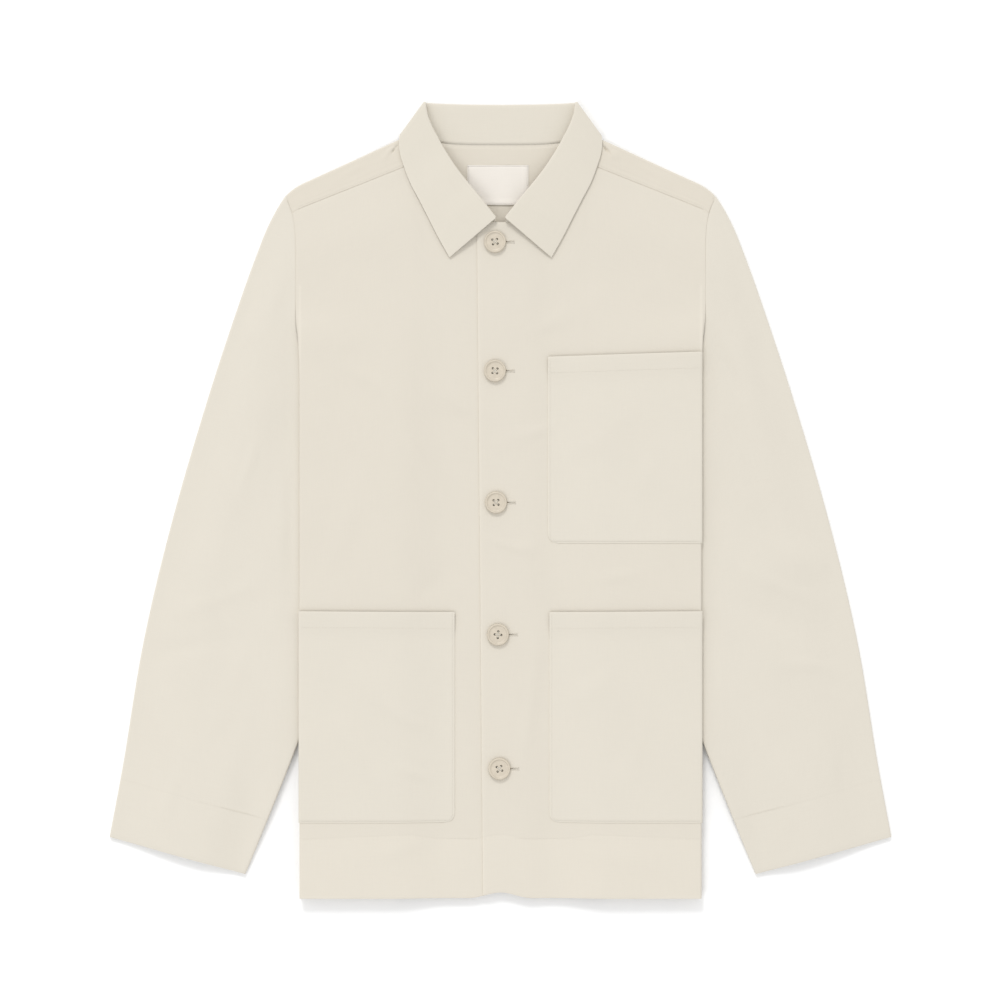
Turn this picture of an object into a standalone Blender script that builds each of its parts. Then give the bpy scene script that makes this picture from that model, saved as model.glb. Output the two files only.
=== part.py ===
"""A chore jacket in ecru cotton canvas, buttoned up and laid flat on its back.

The frame has +Z up, +Y towards the collar and +X towards the wearer's left, with the floor at Z = 0 and the
origin below the middle of the jacket. Sizes are in millimetres and become metres where vertices are placed.

The body is a tube of two fronts and a back. Each side of it is tucked in like a bellows: the front turns
under at the side, runs inwards to the side seam, and the back runs out again and turns flat onto the floor.
The sleeves come out of these tucks. Every panel is a grid laid along the middle of its cloth and given its
wall.
"""

import math

import bmesh
import bpy

MM = 0.001

# Cloth, and how its layers lie on each other.
CLOTH = 1.2  # wall of the canvas
GAP = 0.3  # between layers, and between two pieces at a seam
LAYER = CLOTH + GAP
FOLD = 1.5  # radius of a fold at the middle of the wall

# Heights of the middle of each layer above the floor, from the back up.
Z_BACK = CLOTH / 2
Z_BACK_RETURN = Z_BACK + 2 * FOLD
Z_SLEEVE_UNDER = Z_BACK_RETURN + LAYER
Z_SLEEVE_TOP = Z_SLEEVE_UNDER + 2 * FOLD
Z_FRONT_RETURN = Z_SLEEVE_TOP + LAYER
Z_FRONT_SIDE = Z_FRONT_RETURN + 2 * FOLD
Z_FRONT_CENTRE = 7.6

# Body.
HALF_WIDTH = 193.0  # centre to the folded side
HEM_Y = -382.6
HEM_CORNER_RISE = 5.5  # the hem rises this much towards the centre
HEM_CORNER_WIDTH = 30.0
EDGE_TOP_X, EDGE_HEM_X = -22.6, -16.8  # the left front's edge, at the collar and at the hem
UNDER_EDGE_X = 20.0  # the right front's edge, under the left front
OVERLAP_END_X = 24.0  # the left front is a layer higher up to here
OVERLAP_FADE = 25.0
SIDE_RISE_FROM_X, SIDE_RISE_TO_X = 50.0, 103.0  # the front climbs onto the tucks between these
CLIMB_FROM_Y, CLIMB_TO_Y = 235.0, 75.0  # and slowly down the chest between these
CLIMB_FROM_X, CLIMB_TO_X = 110.0, 180.0  # until close to the side, where it climbs with the rolled edge

# Side tucks and armholes.
TUCK_DEPTH = 85.0  # folded side to side seam
TUCK_TOP_Y = 153.0  # where the armhole rounds the folded side
ARMPIT_Y = 20.0
ROLL_TOP_Y, ROLL_END_Y = 190.0, 140.0  # the flat armhole edge rolls over into the fold between these
ROLL_STRIP = math.pi * FOLD
EDGE_STRIP = 1.6  # cloth left past the fold where the tuck starts
STRIP_AHEAD = 1.15  # that strip turns this much faster than the fold
ARMHOLE_X, SHOULDER_OUT_X = 196.5, 205.2  # the armhole at its straight part, and at the shoulder
SHOULDER_Y = 293.0
BELLOWS = (Z_FRONT_RETURN - Z_BACK_RETURN) / 2  # radius of the fold at the side seam
BELLOWS_TURN = math.acos(1.4 * GAP / BELLOWS)  # each panel's share of that fold
BELLOWS_FROM = 14.0  # below the armpit the side seam closes over this height

# Shoulders and neck.
SHOULDER_LINE_X, SHOULDER_LINE_Y, SHOULDER_SLOPE = 112.3, 339.4, 0.455
SHOULDER_ROUND_X, SHOULDER_ROUND = 190.0, 0.0173
SHOULDER_COS = 1 / math.hypot(1, SHOULDER_SLOPE)
SEAM_DROP_NECK, SEAM_DROP_ARM = 29.0, 22.0  # shoulder fold to the seam in front of it
SHOULDER_FADE = 80.0  # front and sleeve sink to the shoulder fold over this distance
NECK_X = 84.0
NECK_DEPTH = 57.0  # height of the front neckline's half ellipse
NECK_BACK_Y, NECK_BACK_RISE = 341.0, 9.0
COLLAR_LIFT = LAYER + GAP  # the back lies on the collar's fall at the neck
LIFT_FROM_Y, LIFT_TO_Y = 296.0, 330.0
LIFT_FULL_X, LIFT_END_X = 104.0, 146.0

# Sleeves.
SLEEVE_DROP_FROM_X, SLEEVE_DROP_TO_X = 214.0, 254.0  # the under layer sinks to the floor between these
INNER_FADE = 45.0  # the upper layer sinks to the inner fold over this distance
CUFF_INNER = (247.2, -359.6)  # the inner fold's axis at the cuff
INNER_BEND = (168.0, -170.0)  # control point of the inner fold's curve
# The outer fold, from the shoulder to the cuff.
OUTER_FOLD = [
    {"y": 293.0, "x": 205.2},
    {"y": 276.0, "x": 216.0},
    {"y": 249.0, "x": 229.4},
    {"y": 191.5, "x": 250.6},
    {"y": 95.5, "x": 282.2},
    {"y": -19.7, "x": 315.8},
    {"y": -134.9, "x": 343.2},
    {"y": -250.0, "x": 362.4},
    {"y": -324.5, "x": 376.2},
]

# Collar: sections of the left half, from the centre of the back round to the front end. neck is where it is
# sewn on, roll is the centre of its roll, edge is its outer edge, and turn is how far the fall has come
# round, from under the stand at -90 degrees to on top of it at 90.
COLLAR_ROLL = 1.2  # radius of the roll at the middle of the wall
COLLAR_REST = LAYER + 0.4  # height of the fall over the front's middle
STAND_RISE = 1.0  # the stand rises this much from the front neckline to the roll
STAND_STEPS, ROLL_STEPS, FALL_STEPS = 3, 4, 4
COLLAR = [
    {"neck": 0.0, "roll_x": 0.0, "roll_y": 377.9, "edge_x": 0.0, "edge_y": 337.0, "turn": -90},
    {"neck": 0.33, "roll_x": 36.0, "roll_y": 378.4, "edge_x": 40.0, "edge_y": 337.0, "turn": -90},
    {"neck": 0.65, "roll_x": 60.0, "roll_y": 379.2, "edge_x": 72.0, "edge_y": 338.0, "turn": -90},
    {"neck": 0.87, "roll_x": 69.0, "roll_y": 379.8, "edge_x": 88.0, "edge_y": 343.5, "turn": -88},
    {"neck": 1.25, "roll_x": 72.0, "roll_y": 380.0, "edge_x": 93.0, "edge_y": 350.2, "turn": -52},
    {"neck": 1.50, "roll_x": 73.0, "roll_y": 379.8, "edge_x": 95.2, "edge_y": 350.6, "turn": 0},
    {"neck": 1.75, "roll_x": 72.6, "roll_y": 379.0, "edge_x": 96.8, "edge_y": 348.8, "turn": 62},
    {"neck": 2.15, "roll_x": 70.8, "roll_y": 368.0, "edge_x": 97.4, "edge_y": 341.0, "turn": 86},
    {"neck": 2.70, "roll_x": 66.3, "roll_y": 356.2, "edge_x": 96.0, "edge_y": 330.5, "turn": 90},
    {"neck": 3.00, "roll_x": 61.5, "roll_y": 347.0, "edge_x": 92.0, "edge_y": 318.0, "turn": 90},
    {"neck": 3.20, "roll_x": 54.8, "roll_y": 334.8, "edge_x": 86.5, "edge_y": 303.8, "turn": 90},
    {"neck": 3.40, "roll_x": 45.2, "roll_y": 319.8, "edge_x": 79.0, "edge_y": 289.5, "turn": 90},
    {"neck": 3.60, "roll_x": 34.0, "roll_y": 305.0, "edge_x": 70.8, "edge_y": 273.5, "turn": 90},
    {"neck": 3.80, "roll_x": 19.5, "roll_y": 287.5, "edge_x": 60.3, "edge_y": 252.8, "turn": 90},
    {"neck": 3.96, "roll_x": 5.0, "roll_y": 269.4, "edge_x": 48.9, "edge_y": 232.3, "turn": 90},
]

# Patch pockets: left and right sides, mouth and bottom.
POCKET_REST = LAYER  # height over the front's middle
MOUTH_GAPE = 0.6  # the mouth stands off the front by this much more
POCKET_WRAP = math.radians(55)  # how far a pocket follows the folded side round
POCKET_CORNER = 9.0  # radius of the lower corner nearer the middle
POCKETS = [
    {"name": "pocket_chest", "side": 1, "inner": 45.6, "top": 137.0, "outer_top": 141.6, "bottom": -42},
    {"name": "pocket_lower_left", "side": 1, "inner": 47.0, "top": -108, "outer_top": -107, "bottom": -310},
    {"name": "pocket_lower_right", "side": -1, "inner": 44.0, "top": -108, "outer_top": -107, "bottom": -310},
]

# Buttons, from the collar down.
BUTTONS = [
    {"x": -5.3, "y": 247.2},
    {"x": -5.3, "y": 123.4},
    {"x": -4.3, "y": -2.9},
    {"x": -2.4, "y": -129.6},
    {"x": -1.0, "y": -258.2},
]
BUTTON_D, BUTTON_THICK, BUTTON_RIM = 21.0, 3.2, 1.9
HOLE_D, HOLE_PITCH = 2.0, 4.2

# Label inside the back neck.
LABEL_X, LABEL_TOP_Y = (-32.0, 27.0), (283.5, 321.6)
LABEL_THICK = 1.0

# The grids that the panels are laid on.
FRONT_COLUMNS = [-5, 10, 26, 46, 64, 82, 100, 130, 160]  # from edge to side, up to the chest
FAN_FROM_Y, FAN_OVER = 150.0, 110.0  # above this they fan out to the neckline
FOLD_STEPS = 4  # flats in half a turn of folded cloth
RETURN_STEPS = 3
BELLOWS_STEPS = 2
WRAP_STEPS = 2  # shoulder fold to the seam in front of it
EDGE_ROWS = [20, 50, 85, 120, 151, 161, 171, 181, 192, 205, 225, 245, 262]  # heights up the armhole
HEM_ROWS = [-330, -250, -170, -90, -20, 6, 13]  # and below it
SLEEVE_RINGS = [0, 0.04, 0.10, 0.18, 0.28, 0.40, 0.52, 0.64, 0.76, 0.88, 1.0]


def clamp(t):
    return min(max(t, 0.0), 1.0)


def smooth(t):
    """0 to 1, with a soft start and end."""
    t = clamp(t)
    return t * t * (3 - 2 * t)


def mix(a, b, t):
    return a + (b - a) * t


def mix2(a, b, t):
    return tuple(mix(p, q, t) for p, q in zip(a, b))


def read_curve(rows, key, values):
    """A smooth curve through the rows, read at a share from 0 at the first row to 1 at the last."""
    at = clamp(key) * (len(rows) - 1)
    i = min(int(at), len(rows) - 2)
    t = at - i
    found = []
    for name in values:
        p = [rows[min(max(i + k, 0), len(rows) - 1)][name] for k in (-1, 0, 1, 2)]
        a = 2 * p[1]
        b = (p[2] - p[0]) * t
        c = (2 * p[0] - 5 * p[1] + 4 * p[2] - p[3]) * t * t
        d = (3 * p[1] - p[0] - 3 * p[2] + p[3]) * t**3
        found.append((a + b + c + d) / 2)
    return found


# The body's surfaces.
def side_turn(y):
    """How far the side has rolled over, from 0 at the flat armhole to half a turn at the folded side."""
    return math.pi * smooth((ROLL_TOP_Y - y) / (ROLL_TOP_Y - ROLL_END_Y))


def shoulder_y(x):
    """The shoulder fold's outline."""
    past = max(0.0, abs(x) - SHOULDER_ROUND_X)
    return SHOULDER_LINE_Y - SHOULDER_SLOPE * (abs(x) - SHOULDER_LINE_X) - SHOULDER_ROUND * past**2


def shoulder_axis_y(x):
    """The middle of the shoulder fold's turn."""
    return shoulder_y(x) - (FOLD + CLOTH / 2) / SHOULDER_COS


def shoulder_seam_y(x):
    drop = mix(SEAM_DROP_NECK, SEAM_DROP_ARM, (abs(x) - NECK_X) / (SHOULDER_OUT_X - NECK_X))
    return shoulder_y(x) - drop


def strip_start(y):
    """Where the side's rolled strip starts, so that the folded side or the armhole is in its place."""
    turn = side_turn(y)
    up = clamp((y - ROLL_TOP_Y) / (SHOULDER_Y - ROLL_TOP_Y))
    armhole = mix(ARMHOLE_X, SHOULDER_OUT_X, up**5)
    outermost = mix(armhole - EDGE_STRIP, HALF_WIDTH - CLOTH / 2, smooth(turn / math.pi))
    return outermost - (ROLL_STRIP - FOLD * turn) - FOLD * math.sin(min(turn, math.pi / 2))


def tuck_depth(y):
    """Cloth past the fold: down the armhole it grows to the side seam's depth."""
    return EDGE_STRIP + TUCK_DEPTH * clamp((TUCK_TOP_Y - y) / (TUCK_TOP_Y - ARMPIT_Y)) ** 2


def side_length(y):
    closing = BELLOWS * BELLOWS_TURN * smooth((ARMPIT_Y - y) / BELLOWS_FROM)
    return ROLL_STRIP + tuck_depth(y) + closing


def strip_turn(turn):
    """Which way the strip past the fold runs: it lies flat again before the fold's own turn is complete."""
    return math.pi * smooth(STRIP_AHEAD * turn / math.pi)


def side_end(line):
    """Where a line across the shoulder, given as y for x, meets the side strip's start."""
    y = SHOULDER_Y
    for _ in range(12):
        y = line(strip_start(y))
    return y


def side_point(y, along):
    """A point of the cloth past the strip's start at height y: its x, its y and its rise off the panel."""
    turn = side_turn(y)
    flat = ROLL_STRIP - FOLD * turn
    x = strip_start(y) + min(along, flat)
    arc = min(max(along - flat, 0.0) / FOLD, turn)
    straight = min(max(along - ROLL_STRIP, 0.0), tuck_depth(y))
    closing = max(along - ROLL_STRIP - tuck_depth(y), 0.0) / BELLOWS
    onward = strip_turn(turn)
    x += FOLD * math.sin(arc) + straight * math.cos(onward) - BELLOWS * math.sin(closing)
    rise = FOLD * (1 - math.cos(arc)) + straight * math.sin(onward) + BELLOWS * (1 - math.cos(closing))
    slant = smooth((y - ROLL_TOP_Y) / (SHOULDER_Y - ROLL_TOP_Y))
    return x, y + slant * (shoulder_y(x) - shoulder_y(strip_start(y))), rise


def side_columns(y):
    """How far along the cloth each column past the strip's start lies."""
    whole = side_length(y)
    last = whole - min(0.35 * tuck_depth(y), BELLOWS * BELLOWS_TURN)
    columns = [ROLL_STRIP * k / FOLD_STEPS for k in range(1, FOLD_STEPS + 1)]
    columns += [mix(ROLL_STRIP, last, k / RETURN_STEPS) for k in range(1, RETURN_STEPS + 1)]
    return columns + [mix(last, whole, k / BELLOWS_STEPS) for k in range(1, BELLOWS_STEPS + 1)]


def back_height(x, y):
    """Middle of the back, flat on the floor and lifted onto the collar at the neck."""
    up = smooth((y - LIFT_FROM_Y) / (LIFT_TO_Y - LIFT_FROM_Y))
    return Z_BACK + COLLAR_LIFT * up * (1 - smooth((abs(x) - LIFT_FULL_X) / (LIFT_END_X - LIFT_FULL_X)))


def side_height(y):
    """Middle of the front where its side strip starts: the rolled edge clears the sleeve below it."""
    turn = side_turn(y)
    edge = Z_SLEEVE_TOP + LAYER * smooth(turn / math.radians(60))
    return edge + FOLD * (1 - math.cos(turn)) + EDGE_STRIP * math.sin(strip_turn(turn))


def shoulder_fade(down):
    return smooth(down / SHOULDER_FADE)


def top_height(x, y):
    """Middle of the body's upper side where it is one layer."""
    across = smooth((abs(x) - SIDE_RISE_FROM_X) / (SIDE_RISE_TO_X - SIDE_RISE_FROM_X))
    slow = mix(Z_SLEEVE_TOP, Z_FRONT_SIDE, smooth((CLIMB_FROM_Y - y) / (CLIMB_FROM_Y - CLIMB_TO_Y)))
    close = smooth((abs(x) - CLIMB_FROM_X) / (CLIMB_TO_X - CLIMB_FROM_X))
    flat = mix(Z_FRONT_CENTRE, mix(slow, side_height(y), close), across)
    fold = back_height(x, y) + 2 * FOLD
    return mix(fold, flat, shoulder_fade((shoulder_y(x) - y) * SHOULDER_COS))


def overlap_rise(x):
    """The left front lies a layer higher over the right front."""
    return LAYER * (1 - smooth((x - OVERLAP_END_X) / OVERLAP_FADE))


def neck_back_y(x):
    return NECK_BACK_Y + NECK_BACK_RISE * (abs(x) / NECK_X) ** 4


def neck_front_y(x):
    drop = math.sqrt(max(0.0, 1 - (x / NECK_X) ** 2))
    return shoulder_seam_y(NECK_X) - NECK_DEPTH * drop


def hem_y(x):
    return HEM_Y + HEM_CORNER_RISE * smooth(1 - abs(x) / HEM_CORNER_WIDTH)


# Making the objects.
jacket = bpy.data.collections.new("Chore jacket")
cutters = bpy.data.collections.new("Cutters")


def start_scene():
    for old in list(bpy.data.objects):
        bpy.data.objects.remove(old)
    bpy.context.scene.collection.children.link(jacket)
    bpy.context.scene.collection.children.link(cutters)


def finish(name, color, roughness, metallic=0.0):
    material = bpy.data.materials.new(name)
    material.use_nodes = True
    shader = material.node_tree.nodes["Principled BSDF"]
    shader.inputs["Base Color"].default_value = (*color, 1.0)
    shader.inputs["Roughness"].default_value = roughness
    shader.inputs["Metallic"].default_value = metallic
    return material


def cloth_piece(name, columns, rows, point, material, kept=None, wall=CLOTH):
    """A grid of cloth cells, each corner placed by point(column, row), given its wall on both sides."""
    bm = bmesh.new()
    bmesh.ops.create_grid(bm, x_segments=columns, y_segments=rows, size=0.5)
    cells = {v: (round((v.co.x + 0.5) * columns), round((v.co.y + 0.5) * rows)) for v in bm.verts}
    if kept:
        least = {f: tuple(min(cells[v][k] for v in f.verts) for k in (0, 1)) for f in bm.faces}
        dropped = [f for f in bm.faces if not kept(*least[f])]
        bmesh.ops.delete(bm, geom=dropped, context="FACES")
    for v in bm.verts:
        v.co = [c * MM for c in point(*cells[v])]
    bmesh.ops.remove_doubles(bm, verts=bm.verts, dist=1e-6)
    mesh = bpy.data.meshes.new(name)
    bm.to_mesh(mesh)
    bm.free()
    mesh.materials.append(material)
    mesh.shade_smooth()
    piece = bpy.data.objects.new(name, mesh)
    jacket.objects.link(piece)
    solid = piece.modifiers.new("Wall", "SOLIDIFY")
    solid.thickness = wall * MM
    solid.offset = 0.0
    solid.use_even_offset = True
    return piece


def spread_columns(y, inner):
    """Columns of half a panel: the inner ones, then even ones out to the side strip."""
    start = strip_start(y)
    return inner + [mix(inner[-1], start, k / 3) for k in (1, 2, 3)]


def build_back(canvas):
    """One piece from hem to neck, brought over the shoulder fold to the seam in front of it."""
    rows = [HEM_Y] + HEM_ROWS + EDGE_ROWS + [276.5, 284]
    inner = [NECK_X * row["neck"] for row in COLLAR if row["neck"] < 1] + [NECK_X, LIFT_FULL_X]
    half = len(inner) + 2 + FOLD_STEPS + RETURN_STEPS + BELLOWS_STEPS
    flat_rows = len(rows)
    edge_top = side_end(shoulder_axis_y)

    def top_y(x):
        return neck_back_y(x) if abs(x) <= NECK_X else shoulder_axis_y(x)

    def place(k, height):
        """Column k at a share of the panel's height, or past 1 down the front of the shoulder."""
        side_y = mix(HEM_Y, edge_top, min(height, 1.0))
        if height > 1:
            side_y = mix(edge_top, side_end(shoulder_seam_y), height - 1)
        start = strip_start(side_y)
        if k < len(inner) + 3:
            x = spread_columns(side_y, inner)[k]
            if height > 1:
                return x, mix(shoulder_axis_y(x), shoulder_seam_y(x), height - 1), 0.0
            return x, mix(hem_y(x), top_y(x), height), 0.0
        along = side_columns(side_y)[k - len(inner) - 3]
        return side_point(side_y, along)

    def point(i, j):
        k = i - half
        sign = -1 if k < 0 else 1
        if j < flat_rows:
            x, y, rise = place(abs(k), (rows[j] - HEM_Y) / (edge_top - HEM_Y))
            return sign * x, y, back_height(x, y) + rise
        turn = math.pi * (j - flat_rows) / FOLD_STEPS
        if turn <= math.pi:
            x, y, rise = place(abs(k), 1.0)
            out = FOLD * math.sin(turn)
            z = back_height(x, y) + FOLD * (1 - math.cos(turn))
            return sign * (x + out * SHOULDER_SLOPE * SHOULDER_COS), y + out * SHOULDER_COS, z
        x, y, rise = place(abs(k), 1 + (j - flat_rows - FOLD_STEPS) / WRAP_STEPS)
        return sign * x, y, top_height(x, y)

    def kept(i, j):
        return j < flat_rows or abs(i + 0.5 - half) > inner.index(NECK_X)

    cloth_piece("back", 2 * half, flat_rows + FOLD_STEPS + WRAP_STEPS, point, canvas, kept)


def build_front(name, sign, canvas, edge_top, edge_hem, rise_at):
    """One front, from its centre edge to the side seam and from the hem to the neck and shoulder seam."""
    side_top = side_end(lambda x: shoulder_seam_y(x) - GAP)
    rows = [HEM_Y] + HEM_ROWS + EDGE_ROWS + [side_top]
    neck = [NECK_X * math.cos((row["neck"] - 3) * math.pi / 2) for row in COLLAR[::-1] if row["neck"] >= 3]
    tops = spread_columns(side_top, [edge_top, -neck[0]] + neck)
    flat = len(tops)

    def top_y(x):
        return (neck_front_y(x) if abs(x) < NECK_X else shoulder_seam_y(x)) - GAP

    def point(i, j):
        share = (rows[j] - HEM_Y) / (side_top - HEM_Y)
        start = strip_start(rows[j])
        if i >= flat:
            x, y, rise = side_point(rows[j], side_columns(rows[j])[i - flat])
            return sign * x, y, top_height(start, rows[j]) - rise
        edge = mix(edge_hem, edge_top, share)
        body = ([edge] + FRONT_COLUMNS + [start])[i]
        x = mix(body, tops[i] if i < flat - 1 else start, smooth((rows[j] - FAN_FROM_Y) / FAN_OVER))
        y = mix(hem_y(x), top_y(tops[i]), share)
        return sign * x, y, top_height(x, y) + rise_at(x)

    columns = flat - 1 + FOLD_STEPS + RETURN_STEPS + BELLOWS_STEPS
    cloth_piece(name, columns, len(rows) - 1, point, canvas)


def along_line(points, share):
    """The point at a share of a line's length, and the line's direction there."""
    steps = [math.dist(p, q) for p, q in zip(points, points[1:])]
    left = share * sum(steps)
    for p, q, step in zip(points, points[1:], steps):
        if left <= step or q is points[-1]:
            return mix2(p, q, left / step), tuple((b - a) / step for a, b in zip(p, q))
        left -= step


def sleeve_under_height(x, y):
    """Middle of the sleeve's under layer: over the back's fold in the tuck, on the floor outside it."""
    over = smooth(side_turn(y) / (math.pi / 2))
    sunk = smooth((x - SLEEVE_DROP_FROM_X) / (SLEEVE_DROP_TO_X - SLEEVE_DROP_FROM_X))
    return Z_BACK + (Z_SLEEVE_UNDER - Z_BACK) * over * (1 - sunk)


def armhole_point(height, upper):
    """The sleeve's end at the armhole, a gap clear of the body's edge and in under its rolled side."""
    turn = side_turn(height)
    x, y, _ = side_point(height, side_length(height))
    if upper:
        clear = CLOTH / 2 * math.sin(turn) + GAP
        return x + clear * (1 - smooth((turn - math.pi / 3) / (math.pi / 3))), y
    clear = mix(GAP, LAYER, smooth(turn / math.radians(40)))
    return x + clear * (1 - smooth((turn - math.pi / 2) / (math.pi / 3))), y


def sleeve_fold_axes(share):
    """The axes of the outer and the inner fold at a share of the sleeve's length, and their outward sides."""
    line = [read_curve(OUTER_FOLD, k / 80, ("x", "y")) for k in range(81)]
    (x, y), (dx, dy) = along_line(line, share)
    inset = FOLD + CLOTH / 2
    outer = (x + dy * inset, y - dx * inset)
    start = armhole_point(ARMPIT_Y, True)
    inner = mix2(mix2(start, INNER_BEND, share), mix2(INNER_BEND, CUFF_INNER, share), share)
    tangent = [q - p for p, q in zip(mix2(start, INNER_BEND, share), mix2(INNER_BEND, CUFF_INNER, share))]
    size = math.hypot(*tangent)
    return outer, (-dy, dx), inner, (tangent[1] / size, -tangent[0] / size)


def build_sleeve(name, sign, canvas):
    """A flattened tube, from the armhole to the cuff."""
    top = side_end(shoulder_axis_y)
    heights = [top, 284, 276.5] + EDGE_ROWS[::-1]
    count = len(heights)
    ring = 2 * count + 2 * (FOLD_STEPS - 1)
    axes = [sleeve_fold_axes(share) for share in SLEEVE_RINGS]

    def flat_point(j, height, upper):
        """A Coons patch between the armhole, the cuff and the two folds, and its height."""
        share = SLEEVE_RINGS[j]
        outer, _, inner, _ = axes[j]
        across = (top - height) / (top - ARMPIT_Y)
        corner = armhole_point(top, upper)
        settle = 1 - smooth(share / 0.10)
        outer = [o + (c - s) * settle for o, c, s in zip(outer, corner, axes[0][0])]
        start, armpit = armhole_point(height, upper), armhole_point(ARMPIT_Y, upper)
        cuff_outer, cuff_inner = axes[-1][0], axes[-1][2]
        end = mix2(cuff_outer, cuff_inner, across)
        lengthwise = mix2(start, end, share)
        crosswise = mix2(outer, inner, across)
        corners = mix2(mix2(corner, armpit, across), mix2(cuff_outer, cuff_inner, across), share)
        x, y = (a + b - c for a, b, c in zip(lengthwise, crosswise, corners))
        low = sleeve_under_height(x, y)
        if not upper:
            return x, y, low
        width = math.dist(outer, inner)
        down = mix((shoulder_y(x) - y) * SHOULDER_COS, across * width, smooth(share / 0.2))
        risen = shoulder_fade(down) * smooth((1 - across) * width / INNER_FADE)
        return x, y, low + 2 * FOLD + (Z_SLEEVE_TOP - 2 * FOLD - low) * risen

    def fold_point(j, height, side, step):
        """A point of a fold's turn, from the upper layer's edge to the under layer's."""
        upper, under = flat_point(j, height, True), flat_point(j, height, False)
        turn = math.pi * step / FOLD_STEPS
        x, y, _ = mix2(upper, under, step / FOLD_STEPS)
        middle, half = (upper[2] + under[2]) / 2, (upper[2] - under[2]) / 2
        out = FOLD * math.sin(turn)
        return x + side[0] * out, y + side[1] * out, middle + half * math.cos(turn)

    def point(i, j):
        i %= ring
        if i < count:
            x, y, z = flat_point(j, heights[i], True)
        elif i < count + FOLD_STEPS - 1:
            x, y, z = fold_point(j, ARMPIT_Y, axes[j][3], i - count + 1)
        elif i < 2 * count + FOLD_STEPS - 1:
            x, y, z = flat_point(j, heights[2 * count + FOLD_STEPS - 2 - i], False)
        else:
            x, y, z = fold_point(j, top, axes[j][1], ring - i)
        return sign * x, y, z

    cloth_piece(name, ring, len(SLEEVE_RINGS) - 1, point, canvas)


def neck_point(at, rise_at):
    """A point of the neck seam, a gap clear of the body. From the middle of the back, at runs to 1 along the
    back neck, to 2 round the shoulder fold, to 3 at the shoulder seam and to 4 along the front neck."""
    axis, seam = shoulder_axis_y(NECK_X), shoulder_seam_y(NECK_X)
    if at <= 1:
        x = NECK_X * at
        return x, neck_back_y(x) + GAP, back_height(x, NECK_BACK_Y)
    x = NECK_X - GAP - CLOTH / 2 * smooth(1 - abs(at - 1.5))
    if at <= 2:
        turn = (at - 1) * math.pi
        y = axis + FOLD * math.sin(turn) * SHOULDER_COS
        return x, y, back_height(x, y) + FOLD * (1 - math.cos(turn))
    if at <= 3:
        y = mix(axis, seam, at - 2)
        return x, y, top_height(x, y)
    turn = (at - 3) * math.pi / 2
    x, y = NECK_X * math.cos(turn), seam - NECK_DEPTH * math.sin(turn)
    inwards = (-math.cos(turn) / NECK_X, math.sin(turn) / NECK_DEPTH)
    size = math.hypot(*inwards)
    z = top_height(x, y) + rise_at(x)
    return x + GAP * inwards[0] / size, y + GAP * inwards[1] / size, z


def collar_section(row, rise_at):
    """One section of the collar: up the stand, over the roll and down the fall."""
    neck = neck_point(row["neck"], rise_at)
    turn = math.radians(row["turn"])
    risen = (math.sin(turn) + 1) / 2
    up = (row["roll_x"] - neck[0], row["roll_y"] - neck[1])
    up = [c / math.hypot(*up) for c in up]
    apart = (math.cos(turn) * up[1], -math.cos(turn) * up[0], math.sin(turn))
    under_roll = top_height(neck[0], neck[1]) + overlap_rise(neck[0])
    under_edge = top_height(row["edge_x"], row["edge_y"]) + overlap_rise(row["edge_x"])
    roll_z = mix(Z_BACK, under_roll + STAND_RISE, risen) + COLLAR_ROLL
    roll = (row["roll_x"], row["roll_y"], roll_z)
    edge = (row["edge_x"], row["edge_y"], mix(Z_BACK, under_edge + COLLAR_REST, risen))
    bend = []
    for k in range(ROLL_STEPS + 1):
        a = math.pi * k / ROLL_STEPS
        reach = [COLLAR_ROLL * (math.sin(a) * u - math.cos(a) * w) for u, w in zip((*up, 0.0), apart)]
        bend.append([c + r for c, r in zip(roll, reach)])
    stand = [mix2(neck, bend[0], k / STAND_STEPS) for k in range(STAND_STEPS)]
    fall = [mix2(bend[-1], edge, k / FALL_STEPS) for k in range(1, FALL_STEPS + 1)]
    return stand + bend + fall


def build_collar(canvas):
    """Stand and fall in one, from the left front's end round the neck to the right front's."""
    right = [collar_section(row, lambda x: 0.0) for row in COLLAR]
    left = [collar_section(row, overlap_rise) for row in COLLAR]
    sections = [[(-x, y, z) for x, y, z in section] for section in right[:0:-1]] + left

    def point(i, j):
        return sections[i][j]

    cloth_piece("collar", len(sections) - 1, len(sections[0]) - 1, point, canvas)


def build_pocket(row, canvas):
    """A patch that lies on its front and turns down a little over the folded side."""
    start = strip_start(row["bottom"])
    flat = [row["inner"]] + [x for x in FRONT_COLUMNS if x > row["inner"] + 5] + [start]
    shares = [0.0, 0.008, 0.022, 0.048, 0.2, 0.4, 0.6, 0.8, 1.0]
    wrap_steps = 2
    columns = len(flat) - 1 + wrap_steps
    deep = row["top"] - row["bottom"]
    rise_at = overlap_rise if row["side"] > 0 else lambda x: 0.0

    def point(i, j):
        tucked = POCKET_CORNER - shares[j] * deep
        if i == 0 and tucked > 0:
            cut = POCKET_CORNER - math.sqrt(POCKET_CORNER**2 - tucked**2)
            return mix2(on_column(0, j), on_column(1, j), cut / (flat[1] - flat[0]))
        return on_column(i, j)

    def on_column(i, j):
        x = flat[min(i, len(flat) - 1)]
        top = mix(row["top"], row["outer_top"], (x - row["inner"]) / (start - row["inner"]))
        y = mix(row["bottom"], top, shares[j])
        z = top_height(x, y) + rise_at(x) + POCKET_REST + MOUTH_GAPE * smooth(1 - (top - y) / 30)
        turn = POCKET_WRAP * max(i - len(flat) + 1, 0) / wrap_steps
        round_it = FOLD + LAYER
        return row["side"] * (x + round_it * math.sin(turn)), y, z - round_it * (1 - math.cos(turn))

    cloth_piece(row["name"], columns, len(shares) - 1, point, canvas)


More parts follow.
